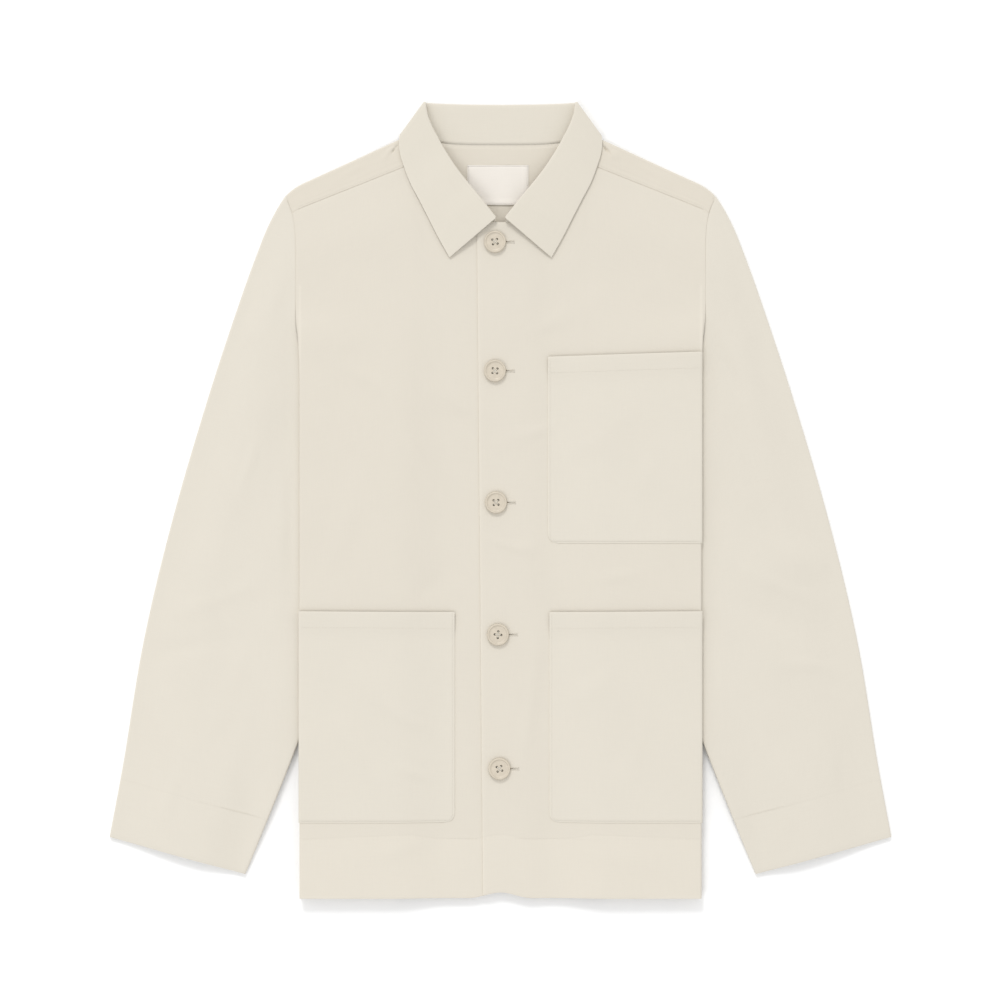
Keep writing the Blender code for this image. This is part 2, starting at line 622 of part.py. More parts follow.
def build_button(number, row, horn):
    """A turned button with a raised rim and four holes, resting on the left front."""
    edge = BUTTON_D / 2
    base = top_height(row["x"], row["y"]) + LAYER + CLOTH / 2 + GAP
    dish = BUTTON_THICK - 1.0
    profile = [
        (0.0, dish),
        (edge - BUTTON_RIM - 1.0, dish),
        (edge - BUTTON_RIM, BUTTON_THICK),
        (edge - 0.7, BUTTON_THICK),
        (edge, BUTTON_THICK - 0.8),
        (edge, 0.6),
        (edge - 0.6, 0.0),
        (0.0, 0.0),
    ]
    bm = bmesh.new()
    points = [bm.verts.new((r * MM, 0.0, z * MM)) for r, z in profile]
    for a, b in zip(points, points[1:]):
        bm.edges.new((a, b))
    mesh = bpy.data.meshes.new(f"button_{number}")
    bm.to_mesh(mesh)
    bm.free()
    mesh.materials.append(horn)
    button = bpy.data.objects.new(f"button_{number}", mesh)
    button.location = (row["x"] * MM, row["y"] * MM, base * MM)
    jacket.objects.link(button)
    turned = button.modifiers.new("Turned", "SCREW")
    turned.steps = turned.render_steps = 16
    turned.use_merge_vertices = True
    turned.merge_threshold = 0.00001
    bm = bmesh.new()
    for k in range(4):
        a = math.pi / 4 + k * math.pi / 2
        size, deep = HOLE_D / 2 * MM, 3 * dish * MM
        hole = bmesh.ops.create_cone(bm, cap_ends=True, segments=6, radius1=size, radius2=size, depth=deep)
        reach = HOLE_PITCH / math.sqrt(2) * MM
        bmesh.ops.translate(bm, verts=hole["verts"], vec=(reach * math.cos(a), reach * math.sin(a), 0.0))
    drill_mesh = bpy.data.meshes.new(f"drill_{number}")
    bm.to_mesh(drill_mesh)
    bm.free()
    drill = bpy.data.objects.new(f"drill_{number}", drill_mesh)
    drill.location = button.location
    drill.hide_render = True
    drill.display_type = "WIRE"
    cutters.objects.link(drill)
    holes = button.modifiers.new("Holes", "BOOLEAN")
    holes.operation = "DIFFERENCE"
    holes.object = drill


def build_label(satin):
    """A plain woven label on the inside of the back."""
    columns, rows = 3, 3

    def point(i, j):
        x, y = mix(*LABEL_X, i / columns), mix(*LABEL_TOP_Y, j / rows)
        return x, y, back_height(x, y) + CLOTH / 2 + GAP + LABEL_THICK / 2

    cloth_piece("label", columns, rows, point, satin, wall=LABEL_THICK)


def build_jacket():
    start_scene()
    canvas = finish("Ecru canvas", (0.76, 0.70, 0.61), 0.9)
    build_back(canvas)
    build_front("front_left", 1, canvas, EDGE_TOP_X, EDGE_HEM_X, overlap_rise)
    build_front("front_right", -1, canvas, -UNDER_EDGE_X, -UNDER_EDGE_X, lambda x: 0.0)
    build_sleeve("sleeve_left", 1, canvas)
    build_sleeve("sleeve_right", -1, canvas)
    build_collar(canvas)
    for row in POCKETS:
        build_pocket(row, canvas)
    horn = finish("Buttons", (0.62, 0.56, 0.46), 0.35)
    for number, row in enumerate(BUTTONS, 1):
        build_button(number, row, horn)
    build_label(finish("Woven label", (0.86, 0.81, 0.73), 0.6))


build_jacket()
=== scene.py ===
"""A chore jacket in ecru cotton canvas, laid flat on its back and buttoned up.

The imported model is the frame. Each panel is made again here as a thin shell on its solid's form, with its
creases, edges and sewing. Sizes are in millimetres and become metres where vertices are placed.
"""

import math
from collections import namedtuple

import bmesh
import bpy
from mathutils import Matrix, Vector


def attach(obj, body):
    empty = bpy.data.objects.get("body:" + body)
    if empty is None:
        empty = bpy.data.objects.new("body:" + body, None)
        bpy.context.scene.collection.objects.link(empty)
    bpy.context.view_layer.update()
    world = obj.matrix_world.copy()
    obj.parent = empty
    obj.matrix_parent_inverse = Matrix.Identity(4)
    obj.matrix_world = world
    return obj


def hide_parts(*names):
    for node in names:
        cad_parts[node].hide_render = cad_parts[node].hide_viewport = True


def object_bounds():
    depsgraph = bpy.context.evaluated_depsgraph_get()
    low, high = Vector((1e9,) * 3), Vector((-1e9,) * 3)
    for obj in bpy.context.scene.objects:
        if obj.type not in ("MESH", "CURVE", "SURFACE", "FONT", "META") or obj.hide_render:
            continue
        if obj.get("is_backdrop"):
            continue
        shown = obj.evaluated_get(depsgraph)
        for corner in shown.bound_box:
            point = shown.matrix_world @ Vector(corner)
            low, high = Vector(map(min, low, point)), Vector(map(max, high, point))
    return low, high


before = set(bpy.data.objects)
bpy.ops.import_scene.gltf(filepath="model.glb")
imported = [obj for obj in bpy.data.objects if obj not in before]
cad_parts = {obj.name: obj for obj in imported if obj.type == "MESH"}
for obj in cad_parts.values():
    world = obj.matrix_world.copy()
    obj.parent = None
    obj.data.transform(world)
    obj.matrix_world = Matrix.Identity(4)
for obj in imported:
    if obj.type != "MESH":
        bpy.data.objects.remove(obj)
cad_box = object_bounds()

# The floor, light and camera. The jacket lies on a white table and is seen from straight above through a long
# lens. A broad soft light from beyond the collar leaves a soft shadow below the hem and the cuffs.
MM = 0.001
TABLE_HALF = 3.0


class Wire:
    """What a shader node gives. Sums with it add Math nodes, and node() adds any other node."""

    def __init__(self, socket):
        self.socket = socket

    def feed(self, value, place):
        """Links a node's socket to another wire, or sets it to a constant."""
        if isinstance(value, Wire):
            self.socket.id_data.links.new(value.socket, place)
        else:
            place.default_value = value

    def node(self, kind, output=0, settings=(), **inputs):
        made = self.socket.id_data.nodes.new(kind)
        for name, value in settings:
            setattr(made, name, value)
        for name, value in inputs.items():
            self.feed(value, made.inputs[name.replace("_", " ")])
        return Wire(made.outputs[output])

    def sum(self, operation, *values):
        total = self.node("ShaderNodeMath", settings=[("operation", operation)])
        for value, place in zip(values, total.socket.node.inputs):
            self.feed(value, place)
        return total

    def __add__(self, other):
        return self.sum("ADD", self, other)

    def __radd__(self, other):
        return self.sum("ADD", other, self)

    def __sub__(self, other):
        return self.sum("SUBTRACT", self, other)

    def __rsub__(self, other):
        return self.sum("SUBTRACT", other, self)

    def __mul__(self, other):
        return self.sum("MULTIPLY", self, other)

    def __rmul__(self, other):
        return self.sum("MULTIPLY", other, self)

    def sine(self):
        return self.sum("SINE", self)

    def near(self, place, width):
        """1 on a line at this place, falling softly to 0 on both sides."""
        off = (self - place) * (1 / width)
        return self.sum("EXPONENT", 0.0 - off * off)

    def split(self):
        """The x and the y of a place."""
        x = self.node("ShaderNodeSeparateXYZ", Vector=self)
        return x, Wire(x.socket.node.outputs[1])

    def noise(self, scale, detail, **inputs):
        return self.node("ShaderNodeTexNoise", Vector=self, Scale=scale, Detail=detail, **inputs)


def new_material(name, **inputs):
    """A material and the wire of its shader, with constants on the shader's sockets."""
    material = bpy.data.materials.new(name)
    material.use_nodes = True
    paint = Wire(material.node_tree.nodes["Principled BSDF"].outputs[0])
    for socket, value in inputs.items():
        paint.feed(value, paint.socket.node.inputs[socket.replace("_", " ")])
    return material, paint


def finished(name, shape, material):
    mesh = bpy.data.meshes.new(name)
    shape.to_mesh(mesh)
    shape.free()
    mesh.materials.append(material)
    piece = bpy.data.objects.new(name, mesh)
    scene.collection.objects.link(piece)
    return piece


def add_light(name, place, aim, size, power):
    lamp = bpy.data.lights.new(name, "AREA")
    lamp.shape = "DISK"
    lamp.size = size
    lamp.energy = power
    light = bpy.data.objects.new(name, lamp)
    light.location = place
    light.rotation_mode = "QUATERNION"
    light.rotation_quaternion = (Vector(aim) - Vector(place)).to_track_quat("-Z", "Y")
    scene.collection.objects.link(light)


scene = bpy.context.scene
scene.view_settings.view_transform = "Standard"
world = bpy.data.worlds.new("studio")
world.use_nodes = True
sky = world.node_tree.nodes["Background"]
sky.inputs["Color"].default_value = (1.0, 1.0, 1.0, 1.0)
sky.inputs["Strength"].default_value = 0.84
scene.world = world

white, _ = new_material(
    "white table", Base_Color=(0.95, 0.95, 0.95, 1.0), Roughness=0.95, Specular_IOR_Level=0.0
)
table = bmesh.new()
bmesh.ops.create_grid(table, x_segments=1, y_segments=1, size=TABLE_HALF)
finished("floor", table, white)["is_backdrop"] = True

add_light("key", place=(-1.8, 8.8, 7.8), aim=(0.0, 0.0, 0.0), size=3.0, power=480.0)
add_light("fill", place=(-1.2, -1.6, 3.0), aim=(0.0, -0.2, 0.0), size=2.0, power=18.5)

lens = bpy.data.cameras.new("camera")
lens.lens = 100.0
lens.sensor_width = 36.0
camera = bpy.data.objects.new("camera", lens)
camera.location = (-0.0005, -0.0005, 2.675)
scene.collection.objects.link(camera)
scene.camera = camera

# The two fronts. Each is cut in one from its centre edge to the side seam, with a deep hem and a folded edge.
# Its side turns under and runs back inwards, so that a bellows of cloth lies flat inside the jacket's side.
# The left front buttons over the right.
CLOTH = 1.2  # wall of the canvas in the solids
GAP = 0.3
SEAM = 0.05  # what is left open at a sewn seam
LAYER = CLOTH + GAP
FOLD = 1.5
WALL = 0.9  # wall of the shells that show
Z_BACK = CLOTH / 2
Z_BACK_RETURN = Z_BACK + 2 * FOLD
Z_SLEEVE_UNDER = Z_BACK_RETURN + LAYER
Z_SLEEVE_TOP = Z_SLEEVE_UNDER + 2 * FOLD
Z_FRONT_RETURN = Z_SLEEVE_TOP + LAYER
Z_FRONT_SIDE = Z_FRONT_RETURN + 2 * FOLD
Z_FRONT_CENTRE = 7.6
HALF_WIDTH = 193.0
HEM_Y, HEM_DEEP = -382.6, 57.0
HEM_CORNER_RISE, HEM_CORNER_WIDTH = 5.5, 30.0
HEM_RISE, HEM_STEP = 0.18, 3.0  # the doubled cloth of a hem stands higher, from its sewn top down
GROOVE, GROOVE_WIDTH = 0.08, 1.6  # what the stitches press in
EDGE_TOP_X, EDGE_HEM_X = -22.6, -16.8
UNDER_EDGE_X = 20.0
OVERLAP_FADE_X = (24.0, 49.0)
SIDE_RISE_X = (50.0, 103.0)
CLIMB_X, CLIMB_Y = (110.0, 180.0), (235.0, 75.0)
CLIMB_TURN = math.radians(60)
TUCK_DEPTH, TUCK_TOP_Y = 85.0, 153.0
ARMPIT_Y = 20.0
ROLL_TOP_Y, ROLL_END_Y = 205.0, 95.0
ROLL_STRIP = math.pi * FOLD
EDGE_STRIP = 1.6
STRIP_AHEAD = 1.15
ARMHOLE_X, SHOULDER_OUT_X = 196.5, 205.2
SHOULDER_Y = 293.0
BELLOWS = (Z_FRONT_RETURN - Z_BACK_RETURN) / 2
BELLOWS_TURN = math.acos(1.4 * GAP / BELLOWS)
BELLOWS_FROM, BELLOWS_SHARE = 14.0, 0.35
SHOULDER_LINE_X, SHOULDER_LINE_Y, SHOULDER_SLOPE = 112.3, 339.4, 0.455
SHOULDER_ROUND_X, SHOULDER_ROUND = 190.0, 0.0173
SHOULDER_COS = 1 / math.hypot(1, SHOULDER_SLOPE)
SEAM_DROP_NECK, SEAM_DROP_ARM = 29.0, 22.0
SHOULDER_FADE = 80.0
NECK_X, NECK_DEPTH = 84.0, 57.0
NECK_BACK_Y, NECK_BACK_RISE = 341.0, 9.0
COLLAR_LIFT = LAYER + GAP
LIFT_X, LIFT_Y = (104.0, 146.0), (296.0, 330.0)
CREASES_END_X, CREASES_END_Y = (186.0, 156.0), (238.0, 193.0)
CELL = 3.0
EDGE_CELLS = (0.35, 1.1)
# An edge's paler tone is partly wear and partly a painted highlight where the fold catches the light.
EDGE_WEAR_AND_HIGHLIGHT = 1.6  # how far an edge's paleness reaches
FRONT_EDGE, FRONT_SEAM_EDGE = (0.5, 2.4), (0.45, 1.92)  # how far an edge drops, and over what width
HEM_DROP_X = (160.0, 140.0)
STEEP_X = (78.0, 79.5)  # close columns where the neckline is steep
ROLL_CELLS, RETURN_CELLS, CLOSING_CELLS = 10, 12, 4
# Width and amount of the paler tone on a rolled fold's crest: partly wear, partly a painted highlight.
ROLL_WEAR_AND_HIGHLIGHT_WIDTH, ROLL_WEAR_AND_HIGHLIGHT = 1.1, 0.8
# Soft creases of the two fronts: x and y of the middle, direction in degrees, length, half width, bow and
# height.
FRONT_CREASES = [
    (12, -45, -12, 64, 5, 3, 0.9),
    (22, 62, 18, 80, 7, -4, 0.8),
    (-48, 96, -28, 120, 9, 6, 0.9),
    (-75, 30, -62, 190, 12, 8, 0.9),
    (-120, 110, -35, 130, 10, -7, 0.7),
    (70, 180, 30, 120, 9, 6, 0.8),
    (30, -190, 82, 220, 8, 6, 0.9),
    (-30, -255, 96, 190, 9, -6, 0.8),
    (105, -75, 8, 110, 8, 5, 0.6),
    (-110, -340, 14, 110, 9, 6, 0.6),
    (120, -345, -10, 120, 9, -6, 0.6),
    (-150, -30, 72, 170, 9, 8, 0.6),
    (60, 20, -70, 150, 8, 7, -0.6),
    (-62, -80, 40, 110, 9, 6, -0.6),
]


def clamp(t):
    return min(max(t, 0.0), 1.0)


def smooth(t):
    t = clamp(t)
    return t * t * (3 - 2 * t)


def ramp(value, start, end):
    """A soft rise from 0 at the start to 1 at the end."""
    return smooth((value - start) / (end - start))


def ridge(t):
    """A soft ridge across t: 1 at 0, dying out past 1."""
    return math.exp(-(t**2))


def mix(a, b, t):
    return a + (b - a) * t


def mix2(a, b, t):
    return tuple(mix(p, q, t) for p, q in zip(a, b))


def cells(start, count):
    """Even values up to 1 past a start, without the start."""
    return [start + k / count for k in range(1, count + 1)]


def steps(low, high, size=CELL):
    """Even values between two ends, with closer ones at both for the rounded edges."""
    count = max(1, round((high - low) / size))
    even = [mix(low, high, t) for t in cells(0, count)[:-1]]
    return [low, *(low + d for d in EDGE_CELLS), *even, *(high - d for d in EDGE_CELLS[::-1]), high]


def side_turn(y):
    """How far the side has rolled over, from 0 at the flat armhole to half a turn at the folded side."""
    return math.pi * ramp(y, ROLL_TOP_Y, ROLL_END_Y)


def shoulder_y(x):
    past = max(0.0, abs(x) - SHOULDER_ROUND_X)
    return SHOULDER_LINE_Y - SHOULDER_SLOPE * (abs(x) - SHOULDER_LINE_X) - SHOULDER_ROUND * past**2


def shoulder_axis_y(x):
    return shoulder_y(x) - (FOLD + CLOTH / 2) / SHOULDER_COS


def shoulder_seam_y(x):
    drop = mix(SEAM_DROP_NECK, SEAM_DROP_ARM, (abs(x) - NECK_X) / (SHOULDER_OUT_X - NECK_X))
    return shoulder_y(x) - drop


def strip_start(y):
    """Where the side's rolled strip starts, so that the folded side or the armhole is in its place."""
    turn = side_turn(y)
    up = clamp((y - ROLL_TOP_Y) / (SHOULDER_Y - ROLL_TOP_Y))
    armhole = mix(ARMHOLE_X, SHOULDER_OUT_X, up**5)
    outermost = mix(armhole - EDGE_STRIP, HALF_WIDTH - CLOTH / 2, smooth(turn / math.pi))
    return outermost - (ROLL_STRIP - FOLD * turn) - FOLD * math.sin(min(turn, math.pi / 2))


def tuck_depth(y):
    return EDGE_STRIP + TUCK_DEPTH * clamp((TUCK_TOP_Y - y) / (TUCK_TOP_Y - ARMPIT_Y)) ** 2


def side_length(y):
    closing = BELLOWS * BELLOWS_TURN * smooth((ARMPIT_Y - y) / BELLOWS_FROM)
    return ROLL_STRIP + tuck_depth(y) + closing


def strip_turn(turn):
    return math.pi * smooth(STRIP_AHEAD * turn / math.pi)


def side_end(line):
    """Where a line across the shoulder, given as y for x, meets the side strip's start."""
    y = SHOULDER_Y
    for _ in range(12):
        y = line(strip_start(y))
    return y


def side_point(y, along):
    """A point of the cloth past the strip's start at height y: its x, its y and its rise off the panel."""
    turn = side_turn(y)
    flat = ROLL_STRIP - FOLD * turn
    x = strip_start(y) + min(along, flat)
    arc = min(max(along - flat, 0.0) / FOLD, turn)
    straight = min(max(along - ROLL_STRIP, 0.0), tuck_depth(y))
    closing = max(along - ROLL_STRIP - tuck_depth(y), 0.0) / BELLOWS
    onward = strip_turn(turn)
    x += FOLD * math.sin(arc) + straight * math.cos(onward) - BELLOWS * math.sin(closing)
    rise = FOLD * (1 - math.cos(arc)) + straight * math.sin(onward) + BELLOWS * (1 - math.cos(closing))
    slant = ramp(y, ROLL_TOP_Y, SHOULDER_Y)
    return x, y + slant * (shoulder_y(x) - shoulder_y(strip_start(y))), rise


def side_along(y, at):
    """How far a column lies past the strip's start: to 1 on the roll, to 2 on the return, to 3 at the end."""
    whole = side_length(y)
    last = whole - min(BELLOWS_SHARE * tuck_depth(y), BELLOWS * BELLOWS_TURN)
    if at <= 1:
        return ROLL_STRIP * at
    if at <= 2:
        return mix(ROLL_STRIP, last, at - 1)
    return mix(last, whole, at - 2)


def back_height(x, y):
    return Z_BACK + COLLAR_LIFT * ramp(y, *LIFT_Y) * (1 - ramp(abs(x), *LIFT_X))


def side_height(y):
    turn = side_turn(y)
    edge = Z_SLEEVE_TOP + LAYER * smooth(turn / CLIMB_TURN)
    return edge + FOLD * (1 - math.cos(turn)) + EDGE_STRIP * math.sin(strip_turn(turn))


def top_height(x, y):
    """Middle of the body's upper side where it is one layer."""
    slow = mix(Z_SLEEVE_TOP, Z_FRONT_SIDE, ramp(y, *CLIMB_Y))
    side = mix(slow, side_height(y), ramp(abs(x), *CLIMB_X))
    flat = mix(Z_FRONT_CENTRE, side, ramp(abs(x), *SIDE_RISE_X))
    down = (shoulder_y(x) - y) * SHOULDER_COS
    return mix(back_height(x, y) + 2 * FOLD, flat, smooth(down / SHOULDER_FADE))


def overlap_rise(side, x):
    """How far the left front, on side 1, is lifted by the right one under it."""
    return LAYER * (1 - ramp(x, *OVERLAP_FADE_X)) if side > 0 else 0.0


def neck_front_y(x):
    drop = math.sqrt(max(0.0, 1 - (x / NECK_X) ** 2))
    return shoulder_seam_y(NECK_X) - NECK_DEPTH * drop


def hem_y(x):
    return HEM_Y + HEM_CORNER_RISE * smooth(1 - abs(x) / HEM_CORNER_WIDTH)


def creased(x, y, creases):
    """Height of soft creases at a point: uneven ridges, or troughs where their height is negative."""
    total = 0.0
    for middle_x, middle_y, direction, length, width, bow, height in creases:
        turn = math.radians(direction)
        dx, dy = x - middle_x, y - middle_y
        along = (dx * math.cos(turn) + dy * math.sin(turn)) / length * 2
        if abs(along) < 1:
            uneven = width * (1 + 0.3 * math.sin(3.7 * along + middle_x))
            across = (dy * math.cos(turn) - dx * math.sin(turn) - bow * along**2) / uneven
            lively = 1 + 0.35 * math.sin(5.3 * along + middle_y)
            total += height * lively * (1 - along**2) ** 2 * ridge(across)
    return total


def drift(x, y):
    """The slow unevenness of cloth that lies loose."""
    slow = math.sin(x / 41 + 1.3) * math.sin(y / 57 - 0.6) + 0.7 * math.sin(x / 23 - y / 38)
    return 0.22 * slow + 0.12 * math.sin(x / 13 + y / 17 + 2)


def front_relief(x, y):
    """Creases of the buttoned fronts, dying out at the folded sides, the shoulders and the collar."""
    inside = ramp(abs(x), *CREASES_END_X) * ramp(y, *CREASES_END_Y)
    return (creased(x, y, FRONT_CREASES) + drift(x, y)) * inside


def front_top(side, x, y):
    """Middle of a front's creased cloth, with x measured towards its own side."""
    return top_height(x, y) + overlap_rise(side, x) + front_relief(side * x, y)


def edge_drop(off, depth=0.3, over=1.2):
    """A folded edge rounds off over its last millimetre or so."""
    return depth * (1 - smooth(off / over))


def near_edge(*offs):
    """1 at the nearest of some edges, falling to 0 where their paler tone, partly wear and partly a painted
    highlight, ends.
    """
    return max(1 - smooth(off / EDGE_WEAR_AND_HIGHLIGHT) for off in offs)


def hem_relief(off, rise, groove):
    """The doubled cloth of a hem and the groove that is sewn along its top, at a distance from its edge."""
    past = off - HEM_DEEP
    return rise * (1 - smooth(past / HEM_STEP)) - groove * ridge(past / GROOVE_WIDTH)


WARP_FINE, WARP_LONG = 1400.0, 45.0
PUCKERS = 1900.0
THREAD_PITCH, SEAM_WIDTH = 0.0011, 0.0011


def surface(paint, color, tone, rough, height, strength, depth):
    """Gives a shader its colour times a tone round 1, its roughness and its fine relief."""
    red, green, blue = (tone * part for part in color)
    sockets = paint.socket.node.inputs
    paint.feed(tone.node("ShaderNodeCombineColor", Red=red, Green=green, Blue=blue), sockets["Base Color"])
    paint.feed(rough, sockets["Roughness"])
    bump = tone.node("ShaderNodeBump", Strength=strength, Distance=depth, Height=height)
    paint.feed(bump, sockets["Normal"])


def soft_cloth(name, sheen, gloss=0.25):
    return new_material(name, Specular_IOR_Level=gloss, Sheen_Weight=sheen, Sheen_Roughness=0.6)


def canvas(name, color, seams_u=(), seams_v=(), doubled=0.0):
    """Plain woven cotton: warp and weft with slubs, a mottled tone, sewn lines, and edges and fold crests
    painted paler, partly as wear and partly as a painted highlight.
    """
    material, paint = soft_cloth(name, 0.18)
    u, v = paint.node("ShaderNodeUVMap", settings=[("uv_map", "cloth")]).split()
    turn = 2 * math.pi / THREAD_PITCH
    weave = (u * turn).sine() * (v * turn).sine()
    warp = u.node("ShaderNodeCombineXYZ", X=u * WARP_FINE, Y=v * WARP_LONG).noise(1.0, 2.0)
    weft = u.node("ShaderNodeCombineXYZ", X=u * WARP_LONG, Y=v * WARP_FINE, Z=7.0).noise(1.0, 2.0)
    flat = u.node("ShaderNodeCombineXYZ", X=u, Y=v)
    mottle = flat.noise(16.0, 4.0, Roughness=0.6)
    fibre = flat.noise(2600.0, 3.0, Roughness=0.7)
    edge_wear_and_highlight = u.node("ShaderNodeAttribute", "Fac", [("attribute_name", "edge")])
    sewn = u * 0.0
    for seam in seams_u:
        sewn = sewn + u.near(seam * MM, SEAM_WIDTH)
    for seam in seams_v:
        sewn = sewn + v.near(seam * MM, SEAM_WIDTH)
    pucker = (u * PUCKERS).sine() * (v * PUCKERS).sine() * sewn
    tone = 0.943 + warp * 0.034 + weft * 0.034 + mottle * 0.034 + fibre * 0.012
    # Edges and fold crests are painted paler here, partly as wear and partly as a painted highlight.
    tone = tone + edge_wear_and_highlight * 0.06 - sewn * 0.012 + weave * 0.010 + v.sum("LESS_THAN", v, doubled * MM) * 0.022
    rough = 0.80 + warp * 0.08 + fibre * 0.1 - edge_wear_and_highlight * 0.06
    height = weave * 0.35 + warp * 0.45 + weft * 0.45 + fibre * 0.25 - sewn * 0.8 + pucker * 0.4
    surface(paint, color, tone, rough, height, 0.32, 0.00016)
    return material


def on_jacket(piece, node=None):
    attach(piece, "root")
    if node:
        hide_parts(node)
    return piece


def cloth(node, columns, rows, place, material, kept=None, wall=WALL, closed=False):
    """A grid of cloth in a node's place. place(column, row) gives x, y, z, the cloth's own u and v, and how
    near an edge it is."""
    grid = bmesh.new()
    across, down = len(columns) - 1, len(rows) - 1
    bmesh.ops.create_grid(grid, x_segments=across, y_segments=down, size=0.5)
    # Each point's share of the paler edge tone, which is partly wear and partly a painted highlight.
    edge_wear_and_highlight = grid.verts.layers.float.new("edge")
    cell = {w: (round((w.co.x + 0.5) * across), round((w.co.y + 0.5) * down)) for w in grid.verts}
    if kept:
        dropped = []
        for face in grid.faces:
            i, j = (min(cell[w][k] for w in face.verts) for k in (0, 1))
            if not kept((columns[i] + columns[i + 1]) / 2, (rows[j] + rows[j + 1]) / 2):
                dropped.append(face)
        bmesh.ops.delete(grid, geom=dropped, context="FACES")
    unrolled = {}
    for w in grid.verts:
        i, j = cell[w]
        x, y, z, u, v, w[edge_wear_and_highlight] = place(columns[i], rows[j])
        w.co = (x * MM, y * MM, z * MM)
        unrolled[w] = (u * MM, v * MM)
    layer = grid.loops.layers.uv.new("cloth")
    for face in grid.faces:
        for loop in face.loops:
            loop[layer].uv = unrolled[loop.vert]
    if closed:
        bmesh.ops.remove_doubles(grid, verts=grid.verts, dist=1e-6)
    piece = finished(node + "_cloth", grid, material)
    piece.data.shade_smooth()
    solid = piece.modifiers.new("wall", "SOLIDIFY")
    solid.thickness = wall * MM
    solid.offset = 0.0
    return on_jacket(piece, node)


def make_front(node, side, material, edge_top, edge_hem):
    side_top = side_end(lambda x: shoulder_seam_y(x) - SEAM)
    start_top = strip_start(side_top)
    flat = steps(edge_top, STEEP_X[0]) + steps(STEEP_X[1], start_top)[len(EDGE_CELLS) + 1:]
    columns = [(x - edge_top) / (start_top - edge_top) for x in flat]
    columns += cells(1, ROLL_CELLS) + cells(2, RETURN_CELLS) + cells(3, CLOSING_CELLS)
    rows = [(y - HEM_Y) / (side_top - HEM_Y) for y in steps(HEM_Y, side_top)]

    def top_y(x):
        return (neck_front_y(x) if abs(x) < NECK_X else shoulder_seam_y(x)) - SEAM

    def place(column, share):
        row_y = mix(HEM_Y, side_top, share)
        start, edge = strip_start(row_y), mix(edge_hem, edge_top, share)
        up = row_y - HEM_Y
        if column > 1:
            along = side_along(row_y, column - 1)
            x, y, rise = side_point(row_y, along)
            # The rolled side's crest is painted paler, partly as wear and partly as a painted highlight.
            edge_wear_and_highlight = ROLL_WEAR_AND_HIGHLIGHT * ridge((along - ROLL_STRIP / 2) / ROLL_WEAR_AND_HIGHLIGHT_WIDTH) if row_y < ROLL_TOP_Y else 0.0
            return side * x, y, top_height(start, row_y) - rise, start - edge_hem + along, up, edge_wear_and_highlight
        x = mix(edge, start, column)
        y = mix(hem_y(x), top_y(mix(edge_top, start_top, column)), share)
        z = front_top(side, x, y) + hem_relief(up, HEM_RISE, GROOVE)
        z -= edge_drop(x - edge, *FRONT_EDGE)
        z -= edge_drop(up) * ramp(abs(x), *HEM_DROP_X) + edge_drop(side_top - row_y, *FRONT_SEAM_EDGE)
        return side * x, y, z, x - edge_hem, up, near_edge(x - edge, up)

    return cloth(node, columns, rows, place, material)


BODY_TINT = (0.673, 0.627, 0.543)
front_canvas = canvas("front canvas", BODY_TINT, seams_v=(HEM_DEEP,), doubled=HEM_DEEP)
front_left = make_front("front_left", 1, front_canvas, EDGE_TOP_X, EDGE_HEM_X)
front_right = make_front("front_right", -1, front_canvas, -UNDER_EDGE_X, -UNDER_EDGE_X)

# The back. It is one piece from hem to neck, flat on the table, and comes over the shoulder fold to the seam
# in front of it. Its sides fold over like the fronts' and meet them at the side seams.
BACK_TINT = (0.668, 0.618, 0.530)
BACK_LONG = 722.0
SHOULDER_STRIP, SEAM_EDGE_STRIP = 27.0, 25.0
SEAM_EDGE_RISE, BACK_SEAM_EDGE = 0.25, (0.35, 1.44)
# The shoulder fold's crest is painted paler, partly as wear and partly as a painted highlight.
SHOULDER_CALM, SHOULDER_WEAR_AND_HIGHLIGHT = 0.15, 0.6
BACK_CREASES_END_X, BACK_CREASES_END_Y = (180.0, 150.0), (300.0, 260.0)
STITCH_ROW = BACK_LONG + ROLL_STRIP + 20
BACK_CREASES = [
    (-60, 120, 62, 240, 12, 10, 0.5),
    (80, 40, -55, 260, 13, -9, 0.5),
    (20, -180, 80, 220, 11, 8, 0.4),
    (-110, -240, -20, 150, 10, 6, 0.4),
]
SHOULDER_CREASES = [
    (101.8, 335.8, -48, 18, 1.0, 0.4, -2.2),
    (108, 333, -52, 26, 3.0, 1, 0.7),
    (-101.8, 336.5, 52, 13, 1.0, 0.4, -1.8),
    (-108, 333, 54, 26, 3.0, 1, 0.7),
    (150, 312, -30, 50, 4.0, 2, 0.4),
    (-146, 314, 30, 50, 4.0, -2, 0.4),
]
BACK_TOP, BACK_SEAM = side_end(shoulder_axis_y), side_end(shoulder_seam_y)
BACK_SIDE = strip_start(BACK_TOP)
BACK_CELL, NECK_SIDE_CELL, NECK_SIDE_CELLS = 4.5, 1.0, 36


def neck_back_y(x):
    return NECK_BACK_Y + NECK_BACK_RISE * (abs(x) / NECK_X) ** 4


def back_place(k, height):
    """Column k, in mm along the shoulder and past it, at a share of the height or down the shoulder."""
    side_y = mix(HEM_Y, BACK_TOP, height) if height <= 1 else mix(BACK_TOP, BACK_SEAM, height - 1)
    if k > BACK_SIDE:
        return side_point(side_y, side_along(side_y, (k - BACK_SIDE) / ROLL_CELLS))
    kept = LIFT_X[0]
    x = k if k <= kept else mix(kept, strip_start(side_y), (k - kept) / (BACK_SIDE - kept))
    if height > 1:
        return x, mix(shoulder_axis_y(x), shoulder_seam_y(x), height - 1), 0.0
    return x, mix(hem_y(x), neck_back_y(x) if x <= NECK_X else shoulder_axis_y(x), height), 0.0


def shoulder_crease(x, y, share):
    """Creases of the strip between the shoulder fold and its seam, dying out at both."""
    calm = smooth(share / SHOULDER_CALM) * smooth((1 - share) / SHOULDER_CALM)
    return creased(x, y, SHOULDER_CREASES) * calm


